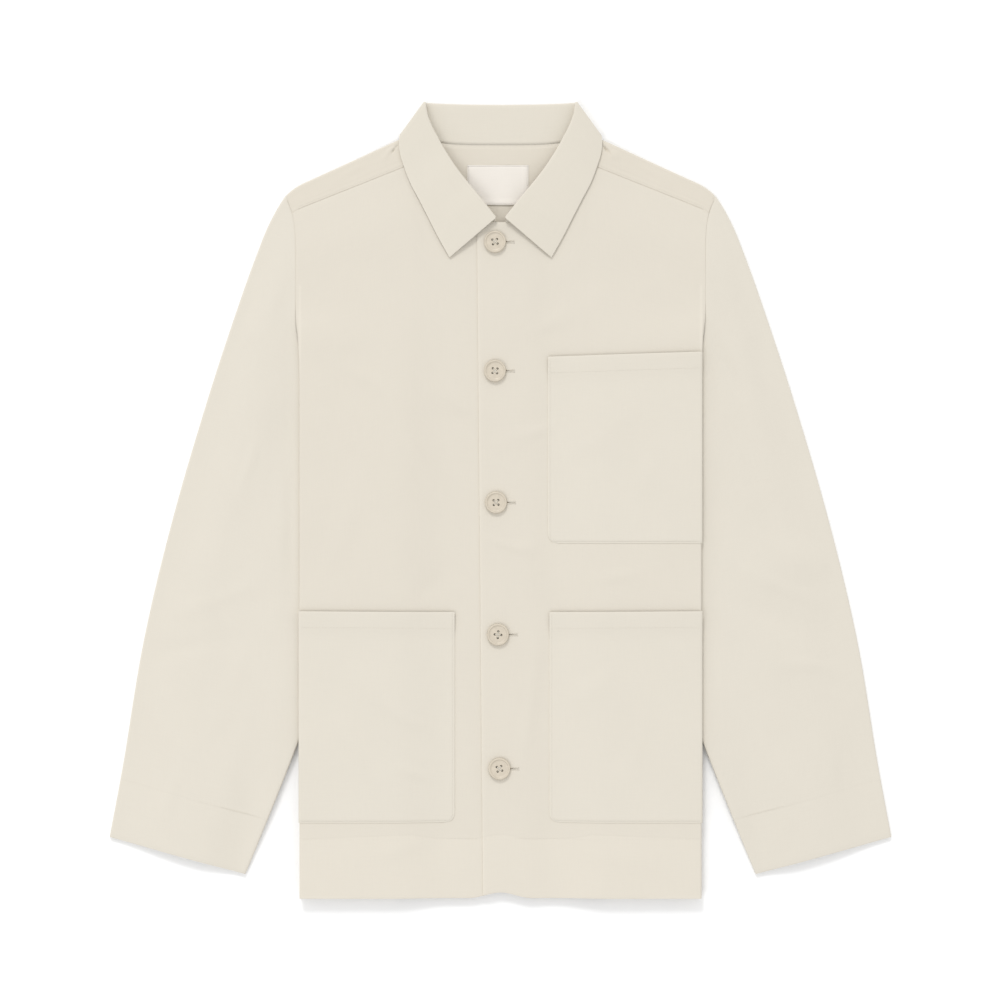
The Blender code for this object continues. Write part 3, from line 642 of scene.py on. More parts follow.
def back_surface(column, row):
    """The back up to row 1, round the shoulder fold to 2 and down to the shoulder seam at 3."""
    side = -1 if column < 0 else 1
    up = BACK_LONG * min(row, 1.0)
    x, y, rise = back_place(abs(column), row if row <= 1 else max(row - 1, 1.0))
    if row <= 1:
        z = back_height(x, y) + rise
        if rise == 0:
            calm = ramp(x, *BACK_CREASES_END_X) * ramp(y, *BACK_CREASES_END_Y)
            z += max(0.0, creased(side * x, y, BACK_CREASES)) * calm
        return side * x, y, z, column, up, near_edge(up)
    if row <= 2:
        turn = math.pi * (row - 1)
        out = FOLD * math.sin(turn)
        z = back_height(x, y) + FOLD * (1 - math.cos(turn))
        x += out * SHOULDER_SLOPE * SHOULDER_COS
        # The fold's crest is painted paler: partly wear, partly a painted highlight.
        return side * x, y + out * SHOULDER_COS, z, column, up + FOLD * turn, SHOULDER_WEAR_AND_HIGHLIGHT * math.sin(turn)
    off_seam = (3 - row) * SEAM_EDGE_STRIP
    z = top_height(x, y) + shoulder_crease(side * x, y, row - 2)
    z += SEAM_EDGE_RISE * smooth(row - 2) - edge_drop(off_seam, *BACK_SEAM_EDGE)
    return side * x, y, z, column, up + ROLL_STRIP + SHOULDER_STRIP * (row - 2), near_edge(off_seam)


half = steps(0.0, NECK_X, BACK_CELL)[len(EDGE_CELLS) + 1:]
half += [NECK_X + NECK_SIDE_CELL * k for k in range(1, NECK_SIDE_CELLS)]
half += steps(NECK_X + NECK_SIDE_CELL * NECK_SIDE_CELLS, BACK_SIDE, BACK_CELL)[len(EDGE_CELLS) + 1:]
half += [BACK_SIDE + k for k in (*range(1, 11), 12, 14, 16, 18, 20, 22.5, 25, 27.5, 30)]
back_rows = [0.0, 0.0005, 0.0015] + cells(0, 160) + cells(1, 8) + cells(2, 26)[:-2] + [2.96, 2.985, 3.0]
back = cloth(
    "back",
    [-k for k in half[::-1]] + [0.0] + half,
    back_rows,
    back_surface,
    canvas("back canvas", BACK_TINT, seams_v=(HEM_DEEP, STITCH_ROW)),
    kept=lambda column, row: row < 1 or abs(column) > NECK_X,
)

# The sleeves. Each is a tube cut in one, with its seam under the arm. It comes out of the folded side, lies
# on the table and ends in a deep plain hem. Its upper side has creases at the elbow and below the armhole.
SLEEVE_DROP_X = (214.0, 254.0)
INNER_FADE = 45.0
CUFF_INNER = (247.2, -359.6)
INNER_BEND = (168.0, -170.0)
OUTER_FOLD = [
    (205.2, 293.0),
    (216.0, 276.0),
    (229.4, 249.0),
    (250.6, 191.5),
    (282.2, 95.5),
    (315.8, -19.7),
    (343.2, -134.9),
    (362.4, -250.0),
    (376.2, -324.5),
]
SLEEVE_LONG, SLEEVE_INNER_LONG = 650.0, 411.0
SLEEVE_FOLDS = 10.0  # cloth round its two folds
# The sleeve folds' crests are painted paler, partly as wear and partly as a painted highlight.
SLEEVE_SEAM_EDGE, SLEEVE_FOLD_WEAR_AND_HIGHLIGHT = (0.4, 2.4), 0.7
SLOPE_SHARE, SETTLE_SHARE = 0.2, 0.10
UNDER_CREASED = 0.4  # how much of the creases the under layer shares
CUFF_RISE, CUFF_GROOVE = 0.12, 0.04
CALM_FOLD, CALM_ARMHOLE = 26.0, 34.0
ARMHOLE_FREE, ARMHOLE_CLEAR = math.radians(40), math.pi / 3
SLEEVE_CREASES = [
    (203, -10, 90, 400, 9, 0, -1.3),
    (-202, 10, 90, 380, 9, 0, -1.1),
    (300, -60, -12, 190, 24, 8, 1.5),
    (278, -116, -17, 160, 13, 5, -1.1),
    (268, -84, -24, 120, 8, 6, 0.9),
    (300, -160, -8, 120, 9, -5, 0.8),
    (226, 110, -62, 170, 9, 7, -0.8),
    (232, 20, -74, 170, 9, 6, 0.8),
    (318, -262, -76, 130, 9, 6, 0.7),
    (272, -248, -58, 120, 8, -5, -0.6),
    (-214, 44, 82, 170, 16, 5, -1.3),
    (-240, 40, 74, 170, 9, 7, 0.8),
    (-272, -96, 20, 130, 9, 6, 0.9),
    (-290, -140, 10, 130, 10, -5, -0.9),
    (-262, -190, 66, 140, 9, 6, 0.7),
    (-316, -280, 74, 120, 9, -5, 0.7),
    (-250, 150, 60, 120, 8, 5, 0.6),
]


def read_curve(rows, share):
    """A smooth curve through the rows, read at a share from 0 at the first row to 1 at the last."""
    at = clamp(share) * (len(rows) - 1)
    i = min(int(at), len(rows) - 2)
    t = at - i
    found = []
    for p in zip(*(rows[min(max(i + k, 0), len(rows) - 1)] for k in (-1, 0, 1, 2))):
        b = (p[2] - p[0]) * t
        c = (2 * p[0] - 5 * p[1] + 4 * p[2] - p[3]) * t * t
        d = (3 * p[1] - p[0] - 3 * p[2] + p[3]) * t**3
        found.append((2 * p[1] + b + c + d) / 2)
    return found


def along_line(points, share):
    """The point at a share of a line's length, and the line's direction there."""
    spans = [math.dist(p, q) for p, q in zip(points, points[1:])]
    left = share * sum(spans)
    for p, q, span in zip(points, points[1:], spans):
        if left <= span or q is points[-1]:
            return mix2(p, q, left / span), tuple((b - a) / span for a, b in zip(p, q))
        left -= span


def sleeve_under_height(x, y):
    over = smooth(side_turn(y) / (math.pi / 2))
    return Z_BACK + (Z_SLEEVE_UNDER - Z_BACK) * over * (1 - ramp(x, *SLEEVE_DROP_X))


def armhole_point(height, upper):
    """The sleeve's end at the armhole, sewn to the body's edge and in under its rolled side."""
    turn = side_turn(height)
    x, y, _ = side_point(height, side_length(height))
    if upper:
        clear = CLOTH / 2 * math.sin(turn) + SEAM
        return x + clear * (1 - smooth((turn - math.pi / 3) / ARMHOLE_CLEAR)), y
    clear = mix(GAP, LAYER, smooth(turn / ARMHOLE_FREE))
    return x + clear * (1 - smooth((turn - math.pi / 2) / ARMHOLE_CLEAR)), y


def sleeve_axes(share):
    """The outer and the inner fold's axis at a share of the sleeve's length, each with its outward side."""
    (x, y), (dx, dy) = along_line([read_curve(OUTER_FOLD, k / 80) for k in range(81)], share)
    inset = FOLD + CLOTH / 2
    first = mix2(armhole_point(ARMPIT_Y, True), INNER_BEND, share)
    second = mix2(INNER_BEND, CUFF_INNER, share)
    size = math.dist(first, second)
    inwards = ((second[1] - first[1]) / size, (first[0] - second[0]) / size)
    return (x + dy * inset, y - dx * inset), (-dy, dx), mix2(first, second, share), inwards


def from_cuff(share, across):
    """The distance from the cuff's end, which is shorter on the inner fold than on the outer one."""
    return (1 - share) * mix(SLEEVE_LONG, SLEEVE_INNER_LONG, across)


def sleeve_crease(side, x, y, share, across, width):
    """A sleeve's creases, which die out at its folds and at the armhole."""
    calm = smooth(across * width / CALM_FOLD) * smooth((1 - across) * width / CALM_FOLD)
    calm *= smooth(share * SLEEVE_LONG / CALM_ARMHOLE)
    return (creased(side * x, y, SLEEVE_CREASES) + drift(side * x, y)) * calm


def sleeve_top(side, x, y, share, across, width):
    """Middle of a sleeve's upper layer."""
    low = sleeve_under_height(x, y)
    down = mix((shoulder_y(x) - y) * SHOULDER_COS, across * width, smooth(share / SLOPE_SHARE))
    risen = smooth(down / SHOULDER_FADE) * smooth((1 - across) * width / INNER_FADE)
    lift = (Z_SLEEVE_TOP - 2 * FOLD - low) * risen
    return low + 2 * FOLD + lift + sleeve_crease(side, x, y, share, across, width)


def make_sleeve(node, side, material):
    top = side_end(shoulder_axis_y)
    shares = [0.0, 0.0008, 0.0022] + cells(0, 190)[:-2] + [1 - 1.2 / SLEEVE_LONG, 1 - 0.4 / SLEEVE_LONG, 1.0]
    axes = {share: sleeve_axes(share) for share in shares}
    heights = [mix(top, ARMPIT_Y, t) for t in [0.0, *cells(0, 84)]]
    turning = cells(0, 8)[:-1]
    columns = [("upper", h) for h in heights] + [("inner", t) for t in turning]
    columns += [("under", h) for h in heights[::-2]] + [("outer", t) for t in turning[::-1]]
    columns.append(columns[0])
    ends = {(h, upper): armhole_point(h, upper) for h in heights for upper in (True, False)}

    def flat_point(share, height, upper):
        """A Coons patch between the armhole, the cuff and the two folds."""
        outer, _, inner, _ = axes[share]
        across = (top - height) / (top - ARMPIT_Y)
        corner, armpit = ends[top, upper], ends[ARMPIT_Y, upper]
        settle = 1 - smooth(share / SETTLE_SHARE)
        outer = [o + (c - s) * settle for o, c, s in zip(outer, corner, axes[0.0][0])]
        cuff = mix2(axes[1.0][0], axes[1.0][2], across)
        lengthwise = mix2(ends[height, upper], cuff, share)
        crosswise = mix2(outer, inner, across)
        corners = mix2(mix2(corner, armpit, across), cuff, share)
        x, y = (a + b - c for a, b, c in zip(lengthwise, crosswise, corners))
        width, off = math.dist(outer, inner), from_cuff(share, across)
        v = SLEEVE_LONG - off
        if upper:
            z = sleeve_top(side, x, y, share, across, width) + hem_relief(off, CUFF_RISE, CUFF_GROOVE)
            z -= edge_drop(off) + edge_drop(share * SLEEVE_LONG, *SLEEVE_SEAM_EDGE)
            return x, y, z, across * width, v
        z = UNDER_CREASED * sleeve_crease(side, x, y, share, across, width)
        return x, y, sleeve_under_height(x, y) + max(0.0, z), (2 - across) * width + SLEEVE_FOLDS, v

    def place(column, share):
        kind, value = column
        near = near_edge((1 - share) * SLEEVE_LONG)
        if kind in ("upper", "under"):
            x, y, z, u, v = flat_point(share, value, kind == "upper")
            return side * x, y, z, u, v, near
        inner = kind == "inner"
        height, outwards = (ARMPIT_Y, axes[share][3]) if inner else (top, axes[share][1])
        upper, under = flat_point(share, height, True), flat_point(share, height, False)
        x, y, _, _, v = mix2(upper, under, value)
        tall, turn = (upper[2] - under[2]) / 2, math.pi * value
        out = FOLD * math.sin(turn)
        z = (upper[2] + under[2]) / 2 + tall * math.cos(turn)
        u = upper[3] + (ROLL_STRIP if inner else -ROLL_STRIP) * value
        # The fold's crest is painted paler: partly wear, partly a painted highlight.
        near = max(near, SLEEVE_FOLD_WEAR_AND_HIGHLIGHT * math.sin(turn))
        return side * (x + outwards[0] * out), y + outwards[1] * out, z, u, v, near

    return cloth(node, columns, shares, place, material, closed=True)


SLEEVE_TINT = (0.680, 0.637, 0.555)
sleeve_canvas = canvas("sleeve canvas", SLEEVE_TINT, seams_v=(SLEEVE_LONG - HEM_DEEP,))
sleeve_left = make_sleeve("sleeve_left", 1, sleeve_canvas)
sleeve_right = make_sleeve("sleeve_right", -1, sleeve_canvas)

# The collar. Stand and fall are one strip, sewn on all round the neck. At the back it stands up and its fall
# hangs down behind, under the back; it turns over at the shoulders, and its two pointed ends lie on the
# fronts.
COLLAR_TINT = (0.677, 0.633, 0.547)
COLLAR_WALL = 1.1
COLLAR_ROLL, COLLAR_BELLY = 1.2, 0.5
COLLAR_REST = LAYER + 0.9
STAND_RISE = 3.4
COLLAR_DEEP, STAND_DEEP, COLLAR_ROLL_DEEP = 42.0, 30.0, 4.0
# The collar's pointed ends are painted paler near their edge, partly as wear and partly as a painted
# highlight.
COLLAR_HALF, COLLAR_END_LONG, COLLAR_END_WEAR_AND_HIGHLIGHT = 300.0, 330.0, 1.8
# Half of it: how far round the neck (as neck_point says), x and y of the roll and of the edge, and the turn
# of the fall, from behind at -90 degrees to in front at 90.
COLLAR = [
    (0.0, 0.0, 377.9, 0.0, 337.0, -90),
    (0.33, 36.0, 378.4, 40.0, 337.0, -90),
    (0.65, 60.0, 379.2, 72.0, 338.0, -90),
    (0.87, 69.0, 379.8, 88.0, 343.5, -88),
    (1.25, 72.0, 380.0, 93.0, 350.2, -52),
    (1.50, 73.0, 379.8, 95.2, 350.6, 0),
    (1.75, 72.6, 379.0, 96.8, 348.8, 62),
    (2.15, 70.8, 368.0, 97.4, 341.0, 86),
    (2.70, 66.3, 356.2, 96.0, 330.5, 90),
    (3.00, 61.5, 347.0, 92.0, 318.0, 90),
    (3.20, 54.8, 334.8, 86.5, 303.8, 90),
    (3.40, 45.2, 319.8, 79.0, 289.5, 90),
    (3.60, 34.0, 305.0, 70.8, 273.5, 90),
    (3.80, 19.5, 287.5, 60.3, 252.8, 90),
    (3.96, 5.0, 269.4, 48.9, 232.3, 90),
]


def neck_point(side, at):
    """A point of the neck seam. From the middle of the back, at runs to 1 along the back neck, to 2 round the
    shoulder fold, to 3 at the shoulder seam and to 4 along the front neck."""
    axis, seam = shoulder_axis_y(NECK_X), shoulder_seam_y(NECK_X)
    if at <= 1:
        x = NECK_X * at
        return x, neck_back_y(x) + SEAM, back_height(x, NECK_BACK_Y)
    x = NECK_X - GAP - CLOTH / 2 * smooth(1 - abs(at - 1.5))
    if at <= 2:
        turn = (at - 1) * math.pi
        y = axis + FOLD * math.sin(turn) * SHOULDER_COS
        return x, y, back_height(x, y) + FOLD * (1 - math.cos(turn))
    if at <= 3:
        y = mix(axis, seam, at - 2)
        return x, y, top_height(x, y)
    turn = (at - 3) * math.pi / 2
    x, y = NECK_X * math.cos(turn), seam - NECK_DEPTH * math.sin(turn)
    inwards = (-math.cos(turn) / NECK_X, math.sin(turn) / NECK_DEPTH)
    size = math.hypot(*inwards)
    z = top_height(x, y) + overlap_rise(side, x)
    return x + GAP * inwards[0] / size, y + GAP * inwards[1] / size, z


def collar_section(side, share, parts):
    """One section of half the collar: up the stand to 1, over the roll to 2 and down the fall to 3."""
    neck_at, roll_x, roll_y, edge_x, edge_y, turned = read_curve(COLLAR, share)
    neck = neck_point(side, neck_at)
    turn = math.radians(clamp((turned + 90) / 180) * 180 - 90)
    risen = (math.sin(turn) + 1) / 2
    up = (roll_x - neck[0], roll_y - neck[1])
    up = [c / math.hypot(*up) for c in up]
    apart = (math.cos(turn) * up[1], -math.cos(turn) * up[0], math.sin(turn))
    under_roll = top_height(neck[0], neck[1]) + overlap_rise(1, neck[0])
    under_edge = top_height(edge_x, edge_y) + overlap_rise(1, edge_x)
    roll = (roll_x, roll_y, mix(Z_BACK, under_roll + STAND_RISE, risen) + COLLAR_ROLL)
    edge = (edge_x, edge_y, mix(Z_BACK, under_edge + COLLAR_REST, risen))

    def bend(part):
        over, off = math.sin(math.pi * part), math.cos(math.pi * part)
        return [c + COLLAR_ROLL * (over * u - off * w) for c, u, w in zip(roll, (*up, 0.0), apart)]

    found = []
    for part in parts:
        if part <= 1:
            found.append(mix2(neck, bend(0.0), part))
        elif part <= 2:
            found.append(bend(part - 1))
        else:
            x, y, z = mix2(bend(1.0), edge, part - 2)
            belly = COLLAR_BELLY * math.sin(math.pi * (part - 2)) - edge_drop((3 - part) * COLLAR_DEEP)
            found.append((x, y, z + belly * risen))
    return found


collar_parts = [0.0] + cells(0, 12) + cells(1, 8) + cells(2, 16)[:-1]
collar_parts += [3 - d / COLLAR_DEEP for d in EDGE_CELLS[::-1]] + [3.0]
collar_shares = [0.0] + cells(0, 112)[:-1] + [1 - 0.0027, 1 - 0.0009, 1.0]
collar_sections = {}
for share in collar_shares:
    for side in (-1, 1):
        for part, (x, y, z) in zip(collar_parts, collar_section(side, share, collar_parts)):
            collar_sections[side * share, part] = (side * x, y, z)


def collar_surface(share, part):
    x, y, z = collar_sections[share, part]
    off_edge, off_end = (3 - part) * COLLAR_DEEP, (1 - abs(share)) * COLLAR_END_LONG
    # The edges, the pointed ends and the roll's crest are painted paler, partly as wear and partly as a
    # painted highlight.
    rolled = ROLL_WEAR_AND_HIGHLIGHT * math.sin(math.pi * clamp(part - 1)) ** 2
    near = max(near_edge(off_edge), 1 - smooth(off_end / COLLAR_END_WEAR_AND_HIGHLIGHT), rolled)
    z -= edge_drop(off_end) if part > 2 else 0.0
    v = STAND_DEEP * min(part, 1) + COLLAR_ROLL_DEEP * clamp(part - 1) + COLLAR_DEEP * max(part - 2, 0)
    return x, y, z, share * COLLAR_HALF, v, near


collar_columns = [-share for share in collar_shares[:0:-1]] + collar_shares
collar_canvas = canvas("collar canvas", COLLAR_TINT)
collar = cloth("collar", collar_columns, collar_parts, collar_surface, collar_canvas, wall=COLLAR_WALL)

# The three patch pockets: one on the left chest and one low on each side. They reach round the folded sides,
# have a deep hem at the mouth, which stands a little open, and a rounded lower corner towards the front's
# middle.
POCKET_TINT = (0.679, 0.636, 0.553)
POCKET_REST, POCKET_WALL = 1.05, 0.7
POCKET_CELL = 2.4
POCKET_CORNER, POCKET_CALM = 9.0, 22.0
POCKET_SIDE_EDGE, POCKET_LOW_EDGE = (0.35, 2.4), (0.5, 2.6)
POCKET_SEAM = 1.8
MOUTH_GAPE, MOUTH_BEND = 1.8, 30.0
MOUTH_HEM, MOUTH_HEM_RISE, MOUTH_HEM_STEP = 15.5, 0.12, 5.0
WRAP, WRAP_CELLS, WRAP_RADIUS = math.radians(55), 5, FOLD + LAYER
Pocket = namedtuple("Pocket", "node side inner top outer_top bottom")
POCKETS = [
    Pocket("pocket_chest", 1, 45.6, 137.0, 141.6, -42.0),
    Pocket("pocket_lower_left", 1, 47.0, -108.0, -107.0, -310.0),
    Pocket("pocket_lower_right", -1, 44.0, -108.0, -107.0, -310.0),
]
POCKET_CREASES = [
    (96, 60, 34, 110, 9, 6, 0.5),
    (140, 20, 76, 110, 8, -5, 0.5),
    (90, -180, 40, 120, 9, 7, 0.5),
    (130, -240, 70, 110, 9, 5, 0.5),
    (-110, -196, -38, 130, 9, 7, 0.9),
    (-140, -236, -60, 110, 8, 6, 0.7),
    (-84, -262, -24, 80, 7, 5, 0.6),
]


def mouth_y(pocket, x):
    share = (x - pocket.inner) / (strip_start(pocket.bottom) - pocket.inner)
    return mix(pocket.top, pocket.outer_top, share)


def pocket_height(pocket, x, y):
    """Middle of a pocket's cloth over its front."""
    off_mouth = mouth_y(pocket, x) - y
    calm = smooth((y - pocket.bottom) / POCKET_CALM)
    for off in (x - pocket.inner, strip_start(pocket.bottom) - x):
        calm *= smooth(off / POCKET_CALM)
    z = front_top(pocket.side, x, y) + POCKET_REST + MOUTH_GAPE * smooth(1 - off_mouth / MOUTH_BEND)
    z += max(0.0, creased(pocket.side * x, y, POCKET_CREASES)) * calm
    return z + MOUTH_HEM_RISE * (1 - smooth((off_mouth - MOUTH_HEM) / MOUTH_HEM_STEP))


def make_pocket(pocket):
    start = strip_start(pocket.bottom)
    across = steps(pocket.inner, start, POCKET_CELL)[:-2] + [start + k for k in range(WRAP_CELLS + 1)]
    deep = pocket.top - pocket.bottom
    down = [k / deep for k in steps(0.0, deep, POCKET_CELL)]

    def place(column, share):
        x = min(column, start)
        off_bottom, off_inner = share * deep, column - pocket.inner
        tucked = POCKET_CORNER - off_bottom
        if tucked > 0:
            cut = POCKET_CORNER - math.sqrt(POCKET_CORNER**2 - tucked**2)
            x += cut * (start - x) / (start - pocket.inner)
        y = mix(pocket.bottom, mouth_y(pocket, x), share)
        z = pocket_height(pocket, x, y)
        z -= edge_drop(off_inner, *POCKET_SIDE_EDGE) + edge_drop(off_bottom, *POCKET_LOW_EDGE)
        turn = WRAP * max(column - start, 0) / WRAP_CELLS
        # Edges and the wrapped fold are painted paler, partly as wear and partly as a painted highlight.
        near = max(near_edge(off_inner, off_bottom, (1 - share) * deep), ROLL_WEAR_AND_HIGHLIGHT * math.sin(turn) ** 2)
        u = x - pocket.inner + WRAP_RADIUS * turn
        x += WRAP_RADIUS * math.sin(turn)
        return pocket.side * x, y, z - WRAP_RADIUS * (1 - math.cos(turn)), u, off_bottom, near

    material = canvas(pocket.node + " canvas", POCKET_TINT, seams_u=(POCKET_SEAM,), seams_v=(POCKET_SEAM,))
    return cloth(pocket.node, across, down, place, material, wall=POCKET_WALL)


pocket_cloths = [make_pocket(pocket) for pocket in POCKETS]

# The sewing thread. Hems, pockets and shoulders are topstitched with a thread a little paler than the cloth.
# Each stitch is a small bead, half sunk in.
THREAD_TINT = (0.700, 0.655, 0.572)
STITCH, STITCH_GAP, STITCH_THICK = 2.7, 0.7, 0.22
ON_CLOTH = WALL / 2
ON_HEM, ON_CUFF, ON_SHOULDER = ON_CLOTH + 0.09, ON_CLOTH + 0.05, ON_CLOTH + 0.24
HEM_SEWN_TO_X = 191.0
SHOULDER_SEWN_X, SHOULDER_SEWN_OFF = (86.0, 196.0), 2.2
POCKET_SEWN_OFF, POCKET_SEWN_TOP = 1.9, 1.5
FINE_STITCH = 0.17
PLIES = 9000.0


def soft_thread(name, color):
    """Twisted cotton thread: a slant of plies and a soft sheen."""
    material, paint = soft_cloth(name, 0.3)
    at = paint.node("ShaderNodeTexCoord", "Object")
    x, y = at.split()
    plies = (x * PLIES + y * PLIES).sine()
    lint = at.noise(900.0, 2.0)
    surface(paint, color, 0.96 + plies * 0.03 + lint * 0.08, 0.62 + lint * 0.2, plies, 0.4, 0.0001)
    return material


def sew(name, lines, material, slot="ecru_canvas", length=STITCH, gap=STITCH_GAP, thick=STITCH_THICK):
    """Stitches along lines of points in mm."""
    beads = bmesh.new()
    for line in lines:
        spans = [(Vector(p), Vector(q)) for p, q in zip(line, line[1:])]
        whole = sum((q - p).length for p, q in spans)
        count = max(1, int(whole / (length + gap)))
        for k in range(count):
            left = (k + 0.5) * whole / count
            for p, q in spans:
                if left <= (q - p).length:
                    break
                left -= (q - p).length
            along = (q - p).normalized()
            turned = along.to_track_quat("X", "Z").to_matrix().to_4x4()
            size = Matrix.Diagonal((length / 2 * MM, thick * MM, thick * 0.8 * MM, 1.0))
            place = Matrix.Translation((p + along * left) * MM) @ turned @ size
            bmesh.ops.create_uvsphere(beads, u_segments=6, v_segments=4, radius=1.0, matrix=place)
    piece = finished(name, beads, material)
    piece.data.shade_smooth()
    return on_jacket(piece)


def line_of(count, point):
    return [point(t) for t in [0.0, *cells(0, count)]]


def hem_line(side, low_x):
    """Stitches along the top of one front's hem."""
    y = HEM_Y + HEM_DEEP

    def point(t):
        x = mix(low_x, HEM_SEWN_TO_X, t)
        return side * x, y, front_top(side, x, y) + ON_HEM

    return line_of(70, point)


def shoulder_line(side):
    def point(t):
        x = mix(*SHOULDER_SEWN_X, t)
        y = shoulder_seam_y(x) + SHOULDER_SEWN_OFF
        share = (shoulder_axis_y(x) - y) / (shoulder_axis_y(x) - shoulder_seam_y(x))
        return side * x, y, top_height(x, y) + shoulder_crease(side * x, y, share) + ON_SHOULDER

    return line_of(40, point)


def pocket_lines(pocket):
    """Stitches round a pocket's sewn edges and across its mouth."""
    start = strip_start(pocket.bottom)
    low_x, low_y = pocket.inner + POCKET_SEWN_OFF, pocket.bottom + POCKET_SEWN_OFF
    turn_in = POCKET_CORNER - POCKET_SEWN_OFF
    edge = line_of(40, lambda t: (mix(start, low_x + turn_in, t), low_y))
    for a in (math.pi / 2 * t for t in cells(0, 8)):
        edge.append((low_x + turn_in * (1 - math.sin(a)), low_y + turn_in * (1 - math.cos(a))))
    edge += line_of(60, lambda t: (low_x, mix(low_y + turn_in, pocket.top - POCKET_SEWN_TOP, t)))[1:]
    mouth = [(x, mouth_y(pocket, x) - MOUTH_HEM) for x in line_of(40, lambda t: mix(low_x, start, t))]

    def laid(x, y):
        return pocket.side * x, y, pocket_height(pocket, x, y) + POCKET_WALL / 2

    return [[laid(*point) for point in way] for way in (edge, mouth)]


def cuff_line(side):
    """Stitches round the upper side of a cuff, a hem's depth from its end."""

    def point(t):
        share = 1 - HEM_DEEP / from_cuff(0.0, t)
        outer, _, inner, _ = sleeve_axes(share)
        x, y = mix2(outer, inner, t)
        return side * x, y, sleeve_top(side, x, y, share, t, math.dist(outer, inner)) + ON_CUFF

    return line_of(60, point)


thread = soft_thread("canvas thread", THREAD_TINT)
front_stitches = sew("front_stitches", [hem_line(1, EDGE_HEM_X), hem_line(-1, UNDER_EDGE_X)], thread)
back_stitches = sew("back_stitches", [shoulder_line(1), shoulder_line(-1)], thread)
pocket_stitches = [sew(pocket.node + "_stitches", pocket_lines(pocket), thread) for pocket in POCKETS]
sleeve_left_stitches = sew("sleeve_left_stitches", [cuff_line(1)], thread, thick=FINE_STITCH)
sleeve_right_stitches = sew("sleeve_right_stitches", [cuff_line(-1)], thread, thick=FINE_STITCH)

# The five buttons. Each is turned from horn-coloured resin with a raised round rim and a sunk middle with
# four holes, and is sewn on through them with a pale cross of thread.
BUTTON_TINT, BUTTON_THREAD_TINT = (0.600, 0.535, 0.435), (0.74, 0.70, 0.61)
BUTTONS = [(-5.3, 247.2, 8), (-5.3, 123.4, -4), (-4.3, -2.9, 3), (-2.4, -129.6, 40), (-1.0, -258.2, 12)]
BUTTON_D, BUTTON_THICK, BUTTON_DISH, BUTTON_RIM = 21.0, 3.2, 2.1, 1.9
RIM_ROUND, RIM_RISE, RIM_STEPS = 0.75, 0.5, 6
TURNING_STEPS = 56
HOLE_D, HOLE_OUT, HOLES = 2.3, 3.11174, 4
DRILL_LONG = 8.0
CROSS_THICK, CROSS_APART = 0.21, 0.24
CROSS_LOW, CROSS_UNDER, CROSS_OVER, CROSS_DEEP = 0.1, 0.35, 0.75, 0.9
STRAND_SIDES = 6


def horn(name, color):
    """Polished resin like horn: drifting clouds and fine streaks under a soft shine."""
    material, paint = new_material(name, Specular_IOR_Level=0.5)
    at = paint.node("ShaderNodeTexCoord", "Object")
    x, y = at.split()
    clouds = at.noise(160.0, 3.0, Roughness=0.6, Distortion=0.8)
    streaks = at.node("ShaderNodeCombineXYZ", X=x * 220.0, Y=y * 1500.0).noise(1.0, 3.0, Distortion=0.6)
    tone = 0.80 + clouds * 0.28 + streaks * 0.14
    surface(paint, color, tone, 0.30 + at.noise(2400.0, 2.0) * 0.16, streaks, 0.12, 0.0001)
    return material


def make_button(number, at_x, at_y, turned, material):
    """One button. Gives the places of its holes and the height of its sunk middle."""
    edge = BUTTON_D / 2
    inside = edge - BUTTON_RIM
    base = front_top(1, at_x, at_y) + CLOTH / 2 + GAP
    # Its profile, from the middle of the face over the rim to the middle of the back.
    profile = [(0.0, BUTTON_DISH), (inside - 1.6, BUTTON_DISH), (inside - 0.9, BUTTON_DISH + 0.15)]
    for k in range(RIM_STEPS + 1):
        a = math.pi * (1 - k / RIM_STEPS)
        out = edge - BUTTON_RIM / 2 - 0.1 + RIM_ROUND * math.cos(a)
        profile.append((out, BUTTON_THICK - RIM_RISE + RIM_RISE * math.sin(a)))
    profile += [(edge, BUTTON_THICK - 0.9), (edge, 0.9), (edge - 0.5, 0.2), (edge - 1.4, 0.0), (0.0, 0.0)]
    shape = bmesh.new()
    ring = [shape.verts.new((r * MM, 0.0, (z + base) * MM)) for r, z in profile]
    turning = ring + [shape.edges.new(pair) for pair in zip(ring, ring[1:])]
    full_turn = {"angle": 2 * math.pi, "steps": TURNING_STEPS, "use_merge": True}
    bmesh.ops.spin(shape, geom=turning, cent=(0, 0, 0), axis=(0, 0, -1), **full_turn)
    bmesh.ops.remove_doubles(shape, verts=shape.verts, dist=1e-7)
    bmesh.ops.recalc_face_normals(shape, faces=shape.faces)
    bmesh.ops.translate(shape, verts=shape.verts, vec=(at_x * MM, at_y * MM, 0.0))
    piece = finished(f"button_{number}_horn", shape, material)
    drill = bmesh.new()
    holes = []
    for k in range(HOLES):
        a = math.radians(turned + 45) + 2 * math.pi * k / HOLES
        x, y = at_x + HOLE_OUT * math.cos(a), at_y + HOLE_OUT * math.sin(a)
        place = Matrix.Translation((x * MM, y * MM, (base + 1) * MM))
        r, deep = HOLE_D / 2 * MM, DRILL_LONG * MM
        bore = {"segments": 16, "radius1": r, "radius2": r, "depth": deep}
        bmesh.ops.create_cone(drill, cap_ends=True, matrix=place, **bore)
        holes.append((x, y))
    cutter = finished(f"drill_{number}", drill, material)
    bored = piece.modifiers.new("holes", "BOOLEAN")
    bored.object = cutter
    bored.solver = "EXACT"
    done = bpy.data.meshes.new_from_object(piece.evaluated_get(bpy.context.evaluated_depsgraph_get()))
    piece.modifiers.clear()
    piece.data = done
    bpy.data.objects.remove(cutter)
    for face in done.polygons:
        face.use_smooth = abs(face.normal.z) < 0.999
    on_jacket(piece, f"button_{number}")
    return holes, base + BUTTON_DISH


